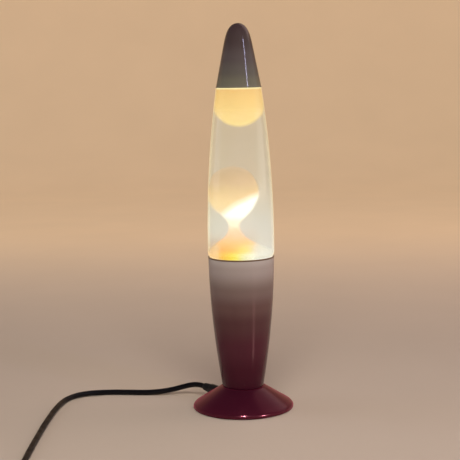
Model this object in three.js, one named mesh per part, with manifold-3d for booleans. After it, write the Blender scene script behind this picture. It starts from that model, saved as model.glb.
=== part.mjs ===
// Liquid motion lamp: a tapered bottle of wax and liquid that lifts out of a spun metal base
// Millimetres, +Z up, the origin in the middle of the underside. The viewer stands on the -Y side.
import * as THREE from 'three';
import { mergeVertices } from 'three/addons/utils/BufferGeometryUtils.js';
import Module from 'manifold-3d';

const wasm = await Module();
wasm.setup();

// Whole lamp
const lampHeight = 350;
const clearance = 0.3;
const cutOverrun = 2;
const largeSegments = 28;
const smallSegments = 14;

// Foot: a spun cone with a rolled lip, a moulded cover inside the lip and a foam pad under the cover
const footRadius = 46.2;
const footTopRadius = 20;
const footHeight = 20;
const footLipRise = 1.6;
const sheetWall = 1.1;
const padThickness = 1.6;
const coverThickness = 1.5;

// Base body: a spun shell, narrow at the waist and wide at the rim
const bodyHeight = 121;
const waistRadius = 18.8;
const rimRadius = 29.9;
const bodyBellyPower = 1.85;
const bodySteps = 8;

// Cap: a spun cone with a rounded tip
const capHeight = 57;
const capEdgeRadius = 20.4;
const capTipRadius = 9.2;
const capWall = 0.7;
const capTipPower = 12;
const capSteps = 8;
const capStepPower = 2.2;

// Bottle: a plug in the base, a ledge on its rim, a belly, a ledge for the cap and a neck
const glassWall = 2.2;
const plugDepth = 20;
const plugTaper = 1.2;
const heelRadius = 5;
const bellyRadius = 30.2;
const bellyRise = 9;
const ledgeRise = 4;
const bellyPower = 2.1;
const shoulderRadius = 20.3;
const neckRadius = 12.2;
const neckRise = 8.5;
const neckLength = 2.5;
const beadProud = 1.1;
const beadHeight = 3;
const lipHeight = 2.2;
const neckShares = [[1, 0], [0.74, 0.3], [0.32, 0.6], [0.04, 0.88], [0, 1]];
const bellySteps = 7;
const heelSteps = 2;

// Crown cap and its liner
const crownWall = 0.4;
const crownSkirtProud = 2.9;
const linerThickness = 0.8;

// Wax and liquid. Each row is a share of the liquid's depth, then radius and offset as shares of the bore
const fillRise = 4;
const columnShares = [
  [0.076, 1.15, 0], [0.112, 1, -0.02], [0.135, 0.8, -0.1], [0.161, 0.57, -0.17], [0.192, 0.35, -0.19],
  [0.232, 0.2, -0.196], [0.275, 0.18, -0.21], [0.32, 0.4, -0.19], [0.364, 0.645, -0.23], [0.424, 0.8, -0.25],
  [0.462, 0.8, -0.243], [0.525, 0.64, -0.243], [0.558, 0.36, -0.243], [0.5717, 0, -0.243],
];
const floatShares = [
  [0.784, 0, 0.02], [0.789, 0.2, 0.02], [0.804, 0.42, 0.01], [0.83, 0.62, -0.01], [0.86, 0.78, -0.04],
  [0.9, 0.95, -0.05], [1.1, 1.05, 0],
];
const waxSteps = 14;
const waxSegments = 18;

// Heating coil on the bottle's floor
const coilWireRadius = 2.2;
const coilRingRadius = 17;

// Centre tube that ties foot and body, with its nuts and washers
const tubeRadius = 5;
const tubeBore = 3.6;
const tubeBelow = 7;
const nutAcross = 14;
const nutThickness = 3.5;
const washerRadius = 9;
const washerThickness = 0.8;

// Lampholder
const holderRadius = 13.5;
const holderWall = 1.6;
const holderFloor = 3;
const holderBaseHeight = 13;
const holderSleeveHeight = 22;
const spigotHeight = 2.5;
const coreThickness = 2.5;
const terminalLength = 6;
const terminalWidth = 4;
const terminalHeight = 4.4;
const terminalOffset = 6.8;
const terminalScrewRadius = 1.7;
const terminalScrewHeight = 1.2;
const threadShellRadius = 7.75;
const threadShellWall = 0.4;
const threadShellHeight = 17.5;
const contactRadius = 3;
const contactHeight = 1.5;

// Reflector bulb. Each row is a share of the bulb's radius and of the height of the glass above its shell
const bulbRadius = 19.5;
const bulbTopGap = 16.3;
const bulbGlassWall = 0.8;
const bulbShares = [
  [0.36, 0.08], [0.55, 0.24], [0.78, 0.42], [0.95, 0.6], [1, 0.72], [0.97, 0.8], [0.85, 0.885], [0.62, 0.955],
  [0.33, 0.99], [0, 1],
];
const bulbShellRadius = 6.95;
const bulbShellRoot = 6.2;
const bulbShellBore = 5.65;
const bulbShellHeight = 19.5;
const bulbShellFlare = 7.6;
const threadPitch = 2.82;
const threadCount = 5;
const insulatorHeight = 3;
const insulatorTopRadius = 6;
const bulbContactRadius = 2.5;
const bulbContactHeight = 1.4;
const stemRadius = 4.1;
const stemTipRadius = 1.2;
const stemHeight = 24;
const filamentWireRadius = 0.35;
const filamentSpan = 10;
const filamentRise = 10;
const filamentSides = 6;
const filamentSteps = 18;
const filamentShares = [[-1, 1], [-1 / 2, 1], [0, 0.95], [1 / 2, 1], [1, 1]];

// Cord and the gland in the foot's back left flank
const cordDiameter = 5;
const cordSides = 8;
const cordAzimuth = THREE.MathUtils.degToRad(138);
const glandTilt = THREE.MathUtils.degToRad(6);
const glandInset = 14;
const glandHeight = 8.6;
const glandRootRadius = 4.4;
const glandTipRadius = 3.5;
const glandInside = 3.5;
const glandOutside = 17;
const sheathPastClamp = 7.5;
const sheathHeight = 8;
const coreRadius = 1.1;
const coreSpread = 1.45;
const coreSides = 8;
const coreSteps = 10;
const coreRunShares = [0.6, 0.22];
const clampBehindMiddle = 5.5;
const clampWidth = 6;
const clampThickness = 2.6;
const clampPostRadius = 2.8;
const clampPostOffset = 6.6;
const clampScrewRadius = 1.1;
const clampScrewHeadRadius = 2;
const clampScrewHead = 1.4;

// Route of the lead from the gland to the switch, along its middle
const leadRoute = [
  [-42.5, 37.9, 10.7], [-48.6, 41.9, 9.7], [-56.5, 44.3, 7.6], [-66.5, 44.2, 5.1], [-78, 43.4, 3.4],
  [-92, 43.2, 2.7], [-108, 44.7, 2.6], [-124, 46.2, 2.6], [-140, 45.2, 2.6], [-150, 42.4, 2.6],
  [-159.5, 35.5, 2.6], [-166, 25, 2.6], [-169.8, 12, 2.6], [-172.2, -5, 2.6], [-174, -27, 2.6],
  [-175.2, -55, 2.6], [-176, -90, 2.6], [-176.4, -130, 2.6], [-176.4, -165, 2.7], [-176.4, -182, 3.7],
  [-176.4, -196, 6.1], [-176.4, -205, 7],
];
const leadSteps = 34;

// Put-away coil: a layer that winds in, a climb of half a turn, and a layer that winds out again
const coilCentre = [-118, -252];
const coilInnerRadius = 20.8;
const coilGap = 0.52;
const coilStart = THREE.MathUtils.degToRad(280);
const turnsPerLayer = 2.625;
const stepsPerTurn = 24;
const coilSides = 6;

// Route of the cord from the switch to the coil, and from the coil to the plug
const linkRoute = [
  [-176.4, -276.5, 6.3], [-173.2, -288.2, 4.6], [-164.6, -296.8, 3.3], [-152.9, -300, 2.8],
  [-142.6, -298.3, 2.65], [-132.4, -294.4, 2.6], [-122.2, -290, 2.55],
];
const linkSteps = 12;
const tailRoute = [
  [-85.2, -234.5, 7.1], [-85.2, -228.5, 6], [-82, -216.5, 4.2], [-73.2, -207.7, 3.1], [-61.2, -204.5, 2.65],
  [-49.2, -207.7, 3.1], [-40.4, -216.5, 4.2], [-37.2, -228.5, 6.1], [-37.2, -233.5, 6.8],
];
const tailSteps = 16;

// In-line switch: two shells, a tilting rocker, two screws and two contacts
const switchLength = 62;
const switchWidth = 25;
const switchCornerRadius = 9;
const switchLowerHeight = 7;
const switchUpperHeight = 10.2;
const switchWall = 1.7;
const rockerLength = 15;
const rockerWidth = 9.4;
const rockerRise = 4.4;
const rockerDip = 1.1;
const rockerDrop = 2;
const rockerHeelShare = 0.6;
const rockerTilt = THREE.MathUtils.degToRad(8);
const pivotRadius = 1.2;
const pivotDrop = 2.6;
const cheekThickness = 1.8;
const cheekDrop = 4;
const switchPostRadius = 2.8;
const switchPostOffset = [22, 6.6];
const switchScrewRadius = 1.1;
const switchScrewHeadRadius = 2.1;
const switchScrewHead = 1.5;
const switchContactLength = 8;
const switchContactWidth = 5;
const switchContactHeight = 3.5;
const switchContactOffset = 7.5;

// Two-pin plug with a tapered strain relief
const plugLength = 36;
const plugFaceWidth = 35;
const plugNeckWidth = 17;
const plugThickness = 13.7;
const plugBevel = 2.2;
const reliefLength = 22;
const reliefTipRadius = 3.6;
const reliefRootRadius = 6.2;
const pinRadius = 2;
const pinLength = 19;
const pinSocketDepth = 6;
const pinSpacing = 18.6;
const plugStart = [-37.2, -234];

// Places that follow from the sizes above
const rimHeight = footHeight + bodyHeight;
const capEdge = lampHeight - capHeight;
const glassBottom = rimHeight - plugDepth;
const padRadius = footRadius - sheetWall - clearance;
const coverBottom = padThickness + clearance;
const coverTop = coverBottom + coverThickness;
const footLipTop = padThickness + footLipRise;
const footTop = footHeight - clearance;
const glandSeatRadius = footRadius - glandInset;
const clampRadius = (footTopRadius + glandSeatRadius) / 2 - clampBehindMiddle;
const sheathEndRadius = clampRadius - sheathPastClamp;
const coneRun = footRadius - footTopRadius;
const coneRise = footTop - footLipTop;
const coneWallRun = (sheetWall * Math.hypot(coneRun, coneRise)) / coneRise;
const coverRadius = footRadius - ((coverTop - footLipTop) * coneRun) / coneRise - coneWallRun - clearance;
const plugRadius = rimRadius - sheetWall - clearance;
const neckRootRadius = capEdgeRadius - capWall - clearance;
const neckRoot = capEdge - clearance;
const beadBottom = neckRoot + neckRise + neckLength;
const lipTop = beadBottom + beadHeight + lipHeight;
const bore = bellyRadius - glassWall;
const liquidBottom = glassBottom + glassWall + clearance;
const liquidTop = capEdge + fillRise;
const cordRadius = cordDiameter / 2;

// Materials
function finish(color, roughness, metalness, opacity = 1) {
  const transparent = opacity < 1;
  return new THREE.MeshStandardMaterial({ color, roughness, metalness, opacity, transparent });
}
const maroonPaint = finish(0x5a2029, 0.28, 0.35);
const capPaint = finish(0x4a3d3c, 0.3, 0.35);
const blackFoam = finish(0x15151a, 0.95, 0);
const blackPlastic = finish(0x1a1a1d, 0.5, 0);
const blackCord = finish(0x1c1d24, 0.6, 0);
const clearGlass = finish(0xf2efe6, 0.05, 0, 0.3);
const paleLiquid = finish(0xe6d9b8, 0.1, 0, 0.5);
const creamWax = finish(0xffd898, 0.45, 0);
const zincSteel = finish(0xb9bcc0, 0.35, 1);
const brass = finish(0xc9a24f, 0.35, 1);
const tinplate = finish(0xc4c2bc, 0.35, 1);
const softLiner = finish(0xdcdcd4, 0.8, 0);
const holderPlastic = finish(0xe9e6dc, 0.45, 0);
const brownCore = finish(0x5b3a22, 0.5, 0);
const blueCore = finish(0x2b4f8f, 0.5, 0);
const tungsten = finish(0x6b6a66, 0.4, 1);

// Solids: one closed body from a geometry, and back again
function solidOf(geometry) {
  const bare = geometry.clone();
  bare.deleteAttribute('normal');
  bare.deleteAttribute('uv');
  const welded = mergeVertices(bare);
  return new wasm.Manifold(new wasm.Mesh({
    numProp: 3,
    vertProperties: new Float32Array(welded.attributes.position.array),
    triVerts: new Uint32Array(welded.index.array),
  }));
}

function geometryOf(solid) {
  const mesh = solid.getMesh();
  const geometry = new THREE.BufferGeometry();
  geometry.setAttribute('position', new THREE.BufferAttribute(new Float32Array(mesh.vertProperties), 3));
  geometry.setIndex(new THREE.BufferAttribute(new Uint32Array(mesh.triVerts), 1));
  return geometry;
}

function join(first, ...others) {
  return geometryOf(others.reduce((sum, other) => sum.add(solidOf(other)), solidOf(first)));
}

function cut(body, ...tools) {
  return geometryOf(tools.reduce((rest, tool) => rest.subtract(solidOf(tool)), solidOf(body)));
}

function common(first, second) {
  return geometryOf(solidOf(first).intersect(solidOf(second)));
}

// A profile of [radius, height] points turned about Z, its outside on the right of the path
function spin(profile, segments = largeSegments) {
  const points = profile.map(([radius, height]) => new THREE.Vector2(radius, height));
  const open = profile[0][0] === 0 && profile.at(-1)[0] === 0;
  if (!open) points.push(points[0].clone());
  return new THREE.LatheGeometry(points, segments).rotateX(Math.PI / 2);
}

function disc(radius, bottom, top, segments = smallSegments) {
  return spin([[0, bottom], [radius, bottom], [radius, top], [0, top]], segments);
}

function ring(outer, inner, bottom, top, segments = smallSegments) {
  return spin([[inner, bottom], [outer, bottom], [outer, top], [inner, top]], segments);
}

// A path moved to its left by a distance, with mitred corners, its points on the axis kept there
function offsetPath(path, distance) {
  const sides = path.slice(1).map(([radius, height], index) => {
    const along = [radius - path[index][0], height - path[index][1]];
    const length = Math.hypot(...along);
    return [along[1] / length, -along[0] / length];
  });
  return path.map(([radius, height], index) => {
    const before = sides[Math.max(index - 1, 0)];
    const after = sides[Math.min(index, sides.length - 1)];
    const reach = distance / (1 + before[0] * after[0] + before[1] * after[1]);
    const moved = radius - (before[0] + after[0]) * reach;
    return [radius === 0 ? 0 : Math.max(moved, 0), height - (before[1] + after[1]) * reach];
  });
}

// A sheet metal or glass wall that lies inside its outer path
function sheet(path, wall) {
  return [...path, ...offsetPath(path, wall).reverse()];
}

// A round tube along a smooth curve through the points
function tube(route, radius, sides, steps) {
  const outline = new THREE.Shape();
  for (let side = 0; side < sides; side += 1) {
    const angle = (2 * Math.PI * side) / sides;
    const corner = [radius * Math.cos(angle), radius * Math.sin(angle)];
    if (side === 0) outline.moveTo(...corner);
    else outline.lineTo(...corner);
  }
  const curve = new THREE.CatmullRomCurve3(route.map((point) => new THREE.Vector3(...point)));
  return new THREE.ExtrudeGeometry(outline, { steps, extrudePath: curve, bevelEnabled: false });
}

function routeLength(route) {
  return new THREE.CatmullRomCurve3(route.map((point) => new THREE.Vector3(...point))).getLength();
}

function block(length, width, height, x, y, bottom) {
  return new THREE.BoxGeometry(length, width, height).translate(x, y, bottom + height / 2);
}

// A round rod along Y with its middle at the origin
function rod(radius, length) {
  return new THREE.CylinderGeometry(radius, radius, length, smallSegments);
}

// A named piece in its group
function part(name, geometry, material, group) {
  const mesh = new THREE.Mesh(geometry, material);
  mesh.name = name;
  group.add(mesh);
  return mesh;
}

const lamp = new THREE.Group();
const base = new THREE.Group();
base.rotation.z = cordAzimuth;
lamp.add(base);

// Gland: its own +Z runs out of the foot, tilted up a little
const glandPlace = new THREE.Matrix4()
  .makeRotationY(Math.PI / 2 - glandTilt)
  .setPosition(glandSeatRadius, 0, glandHeight);

function glandSolid(inner, grow) {
  const [root, tip] = [glandRootRadius + grow, glandTipRadius + grow];
  const [start, end] = [-glandInside - grow, glandOutside + grow];
  return spin([
    [inner, start], [root, start], [root, sheetWall], [tip, end], [inner, end],
  ], smallSegments).applyMatrix4(glandPlace);
}

function makeFoot() {
  const hole = tubeRadius + clearance;
  const cone = [
    [footRadius, padThickness], [footRadius, footLipTop], [footTopRadius, footTop], [hole, footTop],
  ];
  const shell = spin(sheet(cone, sheetWall));
  part('foot_shell', cut(shell, glandSolid(0, clearance)), maroonPaint, base);
  part('foot_pad', disc(padRadius, 0, padThickness, largeSegments), blackFoam, base);

  const postTop = sheathHeight + cordRadius;
  const posts = [-1, 1].map((side) => disc(clampPostRadius, coverBottom, postTop)
    .translate(clampRadius, side * clampPostOffset, 0));
  const saddle = block(clampWidth, clampPostOffset, sheathHeight - coverBottom, clampRadius, 0, coverBottom);
  const groove = rod(cordRadius + clearance, clampWidth + cutOverrun).rotateZ(Math.PI / 2)
    .translate(clampRadius, 0, sheathHeight);
  const pilots = [-1, 1].map((side) => disc(clampScrewRadius + clearance, coverTop, postTop + cutOverrun)
    .translate(clampRadius, side * clampPostOffset, 0));
  const cover = join(disc(coverRadius, coverBottom, coverTop, largeSegments), saddle, ...posts);
  part('bottom_cover', cut(cover, groove, ...pilots), blackPlastic, base);

  const clampBottom = postTop + clearance;
  const clampTop = clampBottom + clampThickness;
  const barLength = 2 * (clampPostOffset + clampPostRadius);
  const bar = block(clampWidth, barLength, clampThickness, clampRadius, 0, clampBottom);
  const barHoles = [-1, 1].map((side) => disc(clampScrewRadius + clearance, clampBottom - cutOverrun,
    clampTop + cutOverrun).translate(clampRadius, side * clampPostOffset, 0));
  part('cord_clamp', cut(bar, ...barHoles), blackPlastic, base);
  for (const [name, side] of [['clamp_screw_left', 1], ['clamp_screw_right', -1]]) {
    const headBottom = clampTop + clearance;
    const screw = spin([
      [0, coverTop + clearance], [clampScrewRadius, coverTop + clearance], [clampScrewRadius, headBottom],
      [clampScrewHeadRadius, headBottom], [clampScrewHeadRadius, headBottom + clampScrewHead],
      [0, headBottom + clampScrewHead],
    ], smallSegments).translate(clampRadius, side * clampPostOffset, 0);
    part(name, screw, zincSteel, base);
  }
}

function makeGland() {
  part('cord_gland', glandSolid(cordRadius + clearance, 0), blackPlastic, base);
  const inner = [
    [0, 0, glandOutside - cordDiameter], [0, 0, 0], [0, 0, -glandInside],
  ].map((point) => new THREE.Vector3(...point).applyMatrix4(glandPlace).toArray());
  const sheathEnd = [sheathEndRadius, 0, sheathHeight];
  const route = [...inner, [clampRadius, 0, sheathHeight], sheathEnd];
  part('cord_inner', tube(route, cordRadius, cordSides, 2 * route.length), blackCord, base);
}

function makeBody() {
  const hole = tubeRadius + clearance;
  const path = [[hole, footHeight]];
  for (let step = 0; step <= bodySteps; step += 1) {
    const rise = step / bodySteps;
    const swell = 1 - (1 - rise) ** bodyBellyPower;
    path.push([waistRadius + (rimRadius - waistRadius) * swell, footHeight + bodyHeight * rise]);
  }
  part('base_body', spin(sheet(path, sheetWall)), maroonPaint, base);
}

// Heights of the stack on the centre tube
const floorTop = footHeight + sheetWall;
const upperNutBottom = floorTop + washerThickness + 2 * clearance;
const holderBottom = upperNutBottom + nutThickness + clearance;
const holderFloorTop = holderBottom + holderFloor;
const terminalBottom = holderFloorTop + clearance;
const coreBottom = terminalBottom + terminalHeight + clearance;
const coreTop = coreBottom + coreThickness;
const tubeTop = holderFloorTop;
const tubeBottom = footTop - sheetWall - tubeBelow;

function makeTube() {
  part('centre_tube', ring(tubeRadius, tubeBore, tubeBottom, tubeTop), zincSteel, base);
  const washerBore = tubeRadius + clearance;
  const lowerWasherTop = footTop - sheetWall - clearance;
  const lowerNutTop = lowerWasherTop - washerThickness - clearance;
  part('lower_washer', ring(washerRadius, washerBore, lowerWasherTop - washerThickness, lowerWasherTop),
    zincSteel, base);
  const upperWasherBottom = floorTop + clearance;
  part('upper_washer', ring(washerRadius, washerBore, upperWasherBottom, upperWasherBottom + washerThickness),
    zincSteel, base);
  for (const [name, bottom] of [['lower_nut', lowerNutTop - nutThickness], ['upper_nut', upperNutBottom]]) {
    const corner = nutAcross / Math.sqrt(3);
    const hexagon = new THREE.CylinderGeometry(corner, corner, nutThickness, 6)
      .rotateX(Math.PI / 2).translate(0, 0, bottom + nutThickness / 2);
    const nutBore = disc(washerBore, bottom - cutOverrun, bottom + nutThickness + cutOverrun);
    part(name, cut(hexagon, nutBore), zincSteel, base);
  }
}

function makeHolder() {
  const baseTop = holderBottom + holderBaseHeight;
  const bowlRadius = holderRadius - holderWall;
  const cup = spin([
    [tubeRadius + clearance, holderBottom], [holderRadius, holderBottom], [holderRadius, baseTop],
    [bowlRadius, baseTop], [bowlRadius, holderFloorTop], [tubeRadius + clearance, holderFloorTop],
  ]);
  part('holder_base', cup, holderPlastic, base);

  const coreHoles = [-1, 1].map((side) => disc(terminalScrewRadius + clearance, coreBottom - cutOverrun,
    coreTop + cutOverrun).translate(0, side * terminalOffset, 0));
  part('holder_core', cut(disc(bowlRadius - clearance, coreBottom, coreTop, largeSegments), ...coreHoles),
    holderPlastic, base);
  for (const [name, side] of [['live_terminal', 1], ['neutral_terminal', -1]]) {
    const place = side * terminalOffset;
    const body = block(terminalWidth, terminalLength, terminalHeight, 0, place, terminalBottom);
    const screw = disc(terminalScrewRadius, terminalBottom, coreTop + terminalScrewHeight)
      .translate(0, place, 0);
    part(name, join(body, screw), brass, base);
  }

  const shellBottom = coreTop + clearance;
  const shellFloor = shellBottom + threadShellWall;
  const shellTop = shellBottom + threadShellHeight;
  const eye = contactRadius + clearance;
  const inner = threadShellRadius - threadShellWall;
  const threadShell = spin([
    [eye, shellBottom], [threadShellRadius, shellBottom], [threadShellRadius, shellTop], [inner, shellTop],
    [inner, shellFloor], [eye, shellFloor],
  ], smallSegments);
  const screwNotches = [-1, 1].map((side) => disc(terminalScrewRadius + clearance, shellBottom - cutOverrun,
    coreTop + terminalScrewHeight + clearance).translate(0, side * terminalOffset, 0));
  part('holder_thread_shell', cut(threadShell, ...screwNotches), brass, base);
  part('holder_contact', disc(contactRadius, shellBottom, shellBottom + contactHeight), brass, base);

  const sleeveBottom = baseTop + clearance;
  const sleeveBore = threadShellRadius + clearance;
  const spigotRadius = bowlRadius - clearance;
  const spigotBottom = Math.max(baseTop - spigotHeight, coreTop + clearance);
  const spigotBore = spigotRadius - holderWall;
  const shelf = spigotBottom + terminalScrewHeight;
  const sleeveTop = sleeveBottom + holderSleeveHeight;
  const sleeve = spin([
    [sleeveBore, shelf], [spigotBore, shelf], [spigotBore, spigotBottom], [spigotRadius, spigotBottom],
    [spigotRadius, sleeveBottom], [holderRadius, sleeveBottom], [holderRadius, sleeveTop],
    [sleeveBore, sleeveTop],
  ]);
  part('holder_sleeve', sleeve, holderPlastic, base);
  return shellBottom + contactHeight + clearance;
}

function makeCores() {
  const terminalMiddle = terminalBottom + terminalHeight / 2;
  const terminalFace = terminalOffset - terminalLength / 2;
  for (const [name, side, material] of [['live_core', 1, brownCore], ['neutral_core', -1, blueCore]]) {
    const route = [
      [sheathEndRadius - clearance, side * coreSpread, sheathHeight],
      [sheathEndRadius * coreRunShares[0], side * coreSpread, sheathHeight],
      [sheathEndRadius * coreRunShares[1], side * coreSpread, (sheathHeight + tubeBottom) / 2],
      [0, side * coreSpread, tubeBottom + coreRadius],
      [0, side * coreSpread, (tubeBottom + tubeTop) / 2],
      [0, side * coreSpread, tubeTop],
      [0, side * (terminalFace - coreRadius), terminalMiddle - clearance],
      [0, side * (terminalFace - clearance - coreRadius / 4), terminalMiddle],
    ];
    part(name, tube(route, coreRadius, coreSides, coreSteps), material, base);
  }
}

function makeBulb(contactBottom) {
  const insulatorBottom = contactBottom + bulbContactHeight + clearance;
  const shellBottom = insulatorBottom + insulatorHeight + clearance;
  const shellTop = shellBottom + bulbShellHeight;
  const contactTop = contactBottom + bulbContactHeight;
  part('bulb_contact', spin([
    [0, contactBottom], [bulbContactRadius / 2, contactBottom], [bulbContactRadius, contactTop],
    [0, contactTop],
  ], smallSegments), tinplate, base);
  part('bulb_insulator', spin([
    [0, insulatorBottom], [bulbContactRadius + clearance, insulatorBottom],
    [insulatorTopRadius, insulatorBottom + insulatorHeight], [0, insulatorBottom + insulatorHeight],
  ], smallSegments), blackPlastic, base);

  const threads = [[bulbShellBore, shellBottom]];
  for (let turn = 0; turn < threadCount; turn += 1) {
    threads.push([bulbShellRoot, shellBottom + turn * threadPitch]);
    threads.push([bulbShellRadius, shellBottom + (turn + 1 / 2) * threadPitch]);
  }
  const threadsTop = shellBottom + threadCount * threadPitch;
  threads.push([bulbShellRoot, threadsTop], [bulbShellRadius, (threadsTop + shellTop) / 2]);
  threads.push([bulbShellFlare, shellTop], [bulbShellBore, shellTop]);
  part('bulb_screw_shell', spin(threads, smallSegments), tinplate, base);

  const headBottom = shellTop + clearance;
  const neck = bulbShellBore - clearance;
  const headHeight = glassBottom - bulbTopGap - headBottom;
  const head = bulbShares.map(([radiusShare, heightShare]) => (
    [radiusShare * bulbRadius, headBottom + heightShare * headHeight]));
  const glassPath = [[neck, shellBottom], [neck, headBottom], ...head];
  part('bulb_glass', spin(sheet(glassPath, bulbGlassWall), smallSegments), clearGlass, base);

  const stemTop = shellBottom + stemHeight;
  part('bulb_stem', spin([
    [0, shellBottom], [stemRadius, shellBottom], [stemTipRadius, (shellBottom + stemTop) / 2],
    [stemTipRadius, stemTop], [0, stemTop],
  ], smallSegments), clearGlass, base);
  const wireBottom = stemTop + clearance;
  const hoop = filamentShares.map(([spanShare, riseShare]) => (
    [(spanShare * filamentSpan) / 2, 0, wireBottom + riseShare * filamentRise]));
  const filament = [[-stemTipRadius, 0, wireBottom], ...hoop, [stemTipRadius, 0, wireBottom]];
  part('bulb_filament', tube(filament, filamentWireRadius, filamentSides, filamentSteps), tungsten, base);
}

// Outer radius of the bottle between its two ledges
function bellyAt(height) {
  const widest = rimHeight + bellyRise;
  const above = Math.max(0, (height - widest) / (neckRoot - widest));
  return bellyRadius - (bellyRadius - shoulderRadius) * above ** bellyPower;
}

// Path of the bottle's shoulder and neck, moved in by a distance
function neckPath(inset) {
  return neckShares.map(([radiusShare, heightShare]) => (
    [neckRadius + (neckRootRadius - neckRadius) * radiusShare - inset, neckRoot + neckRise * heightShare]));
}

// Outer path of the bottle from the middle of its floor to its lip
function bottlePath() {
  const heelBase = plugRadius - plugTaper;
  const path = [[0, glassBottom]];
  for (let step = 0; step <= heelSteps; step += 1) {
    const angle = (step / heelSteps) * (Math.PI / 2);
    const rise = heelRadius * (1 - Math.cos(angle));
    path.push([heelBase - heelRadius * (1 - Math.sin(angle)), glassBottom + rise]);
  }
  path.push([plugRadius, rimHeight + clearance]);
  for (const angle of [Math.PI / 4, Math.PI / 2]) {
    path.push([plugRadius + (bellyRadius - plugRadius) * Math.sin(angle),
      rimHeight + clearance + ledgeRise * (1 - Math.cos(angle))]);
  }
  const widest = rimHeight + bellyRise;
  for (let step = 0; step <= bellySteps; step += 1) {
    const height = widest + ((neckRoot - widest) * step) / bellySteps;
    path.push([bellyAt(height), height]);
  }
  path.push(...neckPath(0));
  path.push([neckRadius, beadBottom - beadProud], [neckRadius + beadProud, beadBottom],
    [neckRadius + beadProud, beadBottom + beadHeight], [neckRadius, lipTop]);
  return path;
}

// Radius of the bottle's bore less a gap, from its floor to a top
function borePath(gap, top) {
  const wall = glassWall + gap;
  const floor = glassBottom + wall;
  const heelBase = plugRadius - plugTaper - wall;
  const heel = Math.max(heelRadius - glassWall, glassWall);
  const path = [[0, floor]];
  for (let step = 0; step <= heelSteps; step += 1) {
    const angle = (step / heelSteps) * (Math.PI / 2);
    path.push([heelBase - heel * (1 - Math.sin(angle)), floor + heel * (1 - Math.cos(angle))]);
  }
  path.push([plugRadius - wall, rimHeight]);
  const widest = rimHeight + bellyRise;
  for (let step = 0; step < bellySteps; step += 1) {
    const height = widest + ((neckRoot - widest) * step) / bellySteps;
    path.push([bellyAt(height) - wall, height]);
  }
  path.push(...neckPath(wall), [neckRadius - wall, lipTop]);
  const kept = path.filter(([, height]) => height < top);
  const [radius, height] = kept.at(-1);
  const [nextRadius, nextHeight] = path[kept.length] ?? kept.at(-1);
  const share = nextHeight > height ? (top - height) / (nextHeight - height) : 0;
  kept.push([radius + (nextRadius - radius) * share, top]);
  return kept;
}

// A wax shape: rows of shares turned about Z, then shifted sideways row by row
function waxShape(rows, closed, grow) {
  const depth = liquidTop - liquidBottom;
  const places = rows.map(([heightShare, radiusShare, offsetShare]) => (
    new THREE.Vector3(radiusShare * bore, liquidBottom + heightShare * depth, offsetShare * bore)));
  const curve = new THREE.CatmullRomCurve3(places);
  const points = curve.getPoints(waxSteps);
  const path = points.map(({ x, y }) => [Math.max(x, 0), y]);
  if (closed) path.at(-1)[0] = 0;
  else path[0][0] = 0;
  const grown = grow > 0 ? offsetPath(path, -grow) : path;
  const floor = glassBottom - cutOverrun;
  const outline = closed ? [[0, floor], [grown[0][0], floor], ...grown] : [...grown, [0, grown.at(-1)[1]]];
  const geometry = spin(outline, waxSegments);
  const corners = geometry.attributes.position;
  for (let index = 0; index < corners.count; index += 1) {
    const height = corners.getZ(index);
    const above = points.findIndex((point) => point.y >= height);
    const high = points[above < 0 ? points.length - 1 : above];
    const low = points[Math.max((above < 0 ? points.length : above) - 1, 0)];
    const share = high.y > low.y ? Math.min(Math.max((height - low.y) / (high.y - low.y), 0), 1) : 0;
    corners.setX(index, corners.getX(index) + low.z + (high.z - low.z) * share);
  }
  return geometry;
}

function makeBottle() {
  const outer = bottlePath();
  const inner = borePath(0, lipTop);
  part('bottle_glass', spin([...outer, ...inner.reverse()]), clearGlass, lamp);

  const inside = spin([...borePath(clearance, liquidTop), [0, liquidTop]]);
  const coilHeight = liquidBottom + coilWireRadius;
  const torus = (radius) => new THREE.TorusGeometry(coilRingRadius, radius, coilSides + 2, largeSegments)
    .translate(0, 0, coilHeight);
  const well = ring(coilRingRadius + coilWireRadius + clearance, coilRingRadius - coilWireRadius - clearance,
    glassBottom, coilHeight, largeSegments);
  const column = common(inside, waxShape(columnShares, true, 0));
  part('heating_coil', torus(coilWireRadius), zincSteel, lamp);
  part('wax_column', cut(column, torus(coilWireRadius + clearance), well), creamWax, lamp);
  part('wax_float', common(inside, waxShape(floatShares, false, 0)), creamWax, lamp);
  const waxRoom = [waxShape(columnShares, true, clearance), waxShape(floatShares, false, clearance)];
  part('liquid', cut(inside, ...waxRoom), paleLiquid, lamp);
}

function makeCrown() {
  const linerBottom = lipTop + clearance;
  const discBottom = linerBottom + linerThickness + clearance;
  const discTop = discBottom + crownWall;
  const skirtRadius = neckRadius + beadProud + crownSkirtProud;
  const insideRadius = neckRadius + beadProud + clearance + crownWall;
  part('crown_liner', disc(neckRadius + clearance, linerBottom, linerBottom + linerThickness, largeSegments),
    softLiner, lamp);
  const path = [
    [skirtRadius, beadBottom + clearance], [insideRadius + crownWall, beadBottom + beadHeight],
    [insideRadius, discTop - crownWall], [neckRadius, discTop], [0, discTop],
  ];
  part('crown_cap', spin(sheet(path, crownWall)), tinplate, lamp);
}

function makeCap() {
  const path = [];
  for (let step = 0; step <= capSteps; step += 1) {
    const rise = 1 - (1 - step / capSteps) ** capStepPower;
    const cone = capEdgeRadius + (capTipRadius - capEdgeRadius) * rise;
    path.push([cone * Math.sqrt(1 - rise ** capTipPower), capEdge + capHeight * rise]);
  }
  path.at(-1)[0] = 0;
  part('top_cap', spin(sheet(path, capWall)), capPaint, lamp);
}

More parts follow.
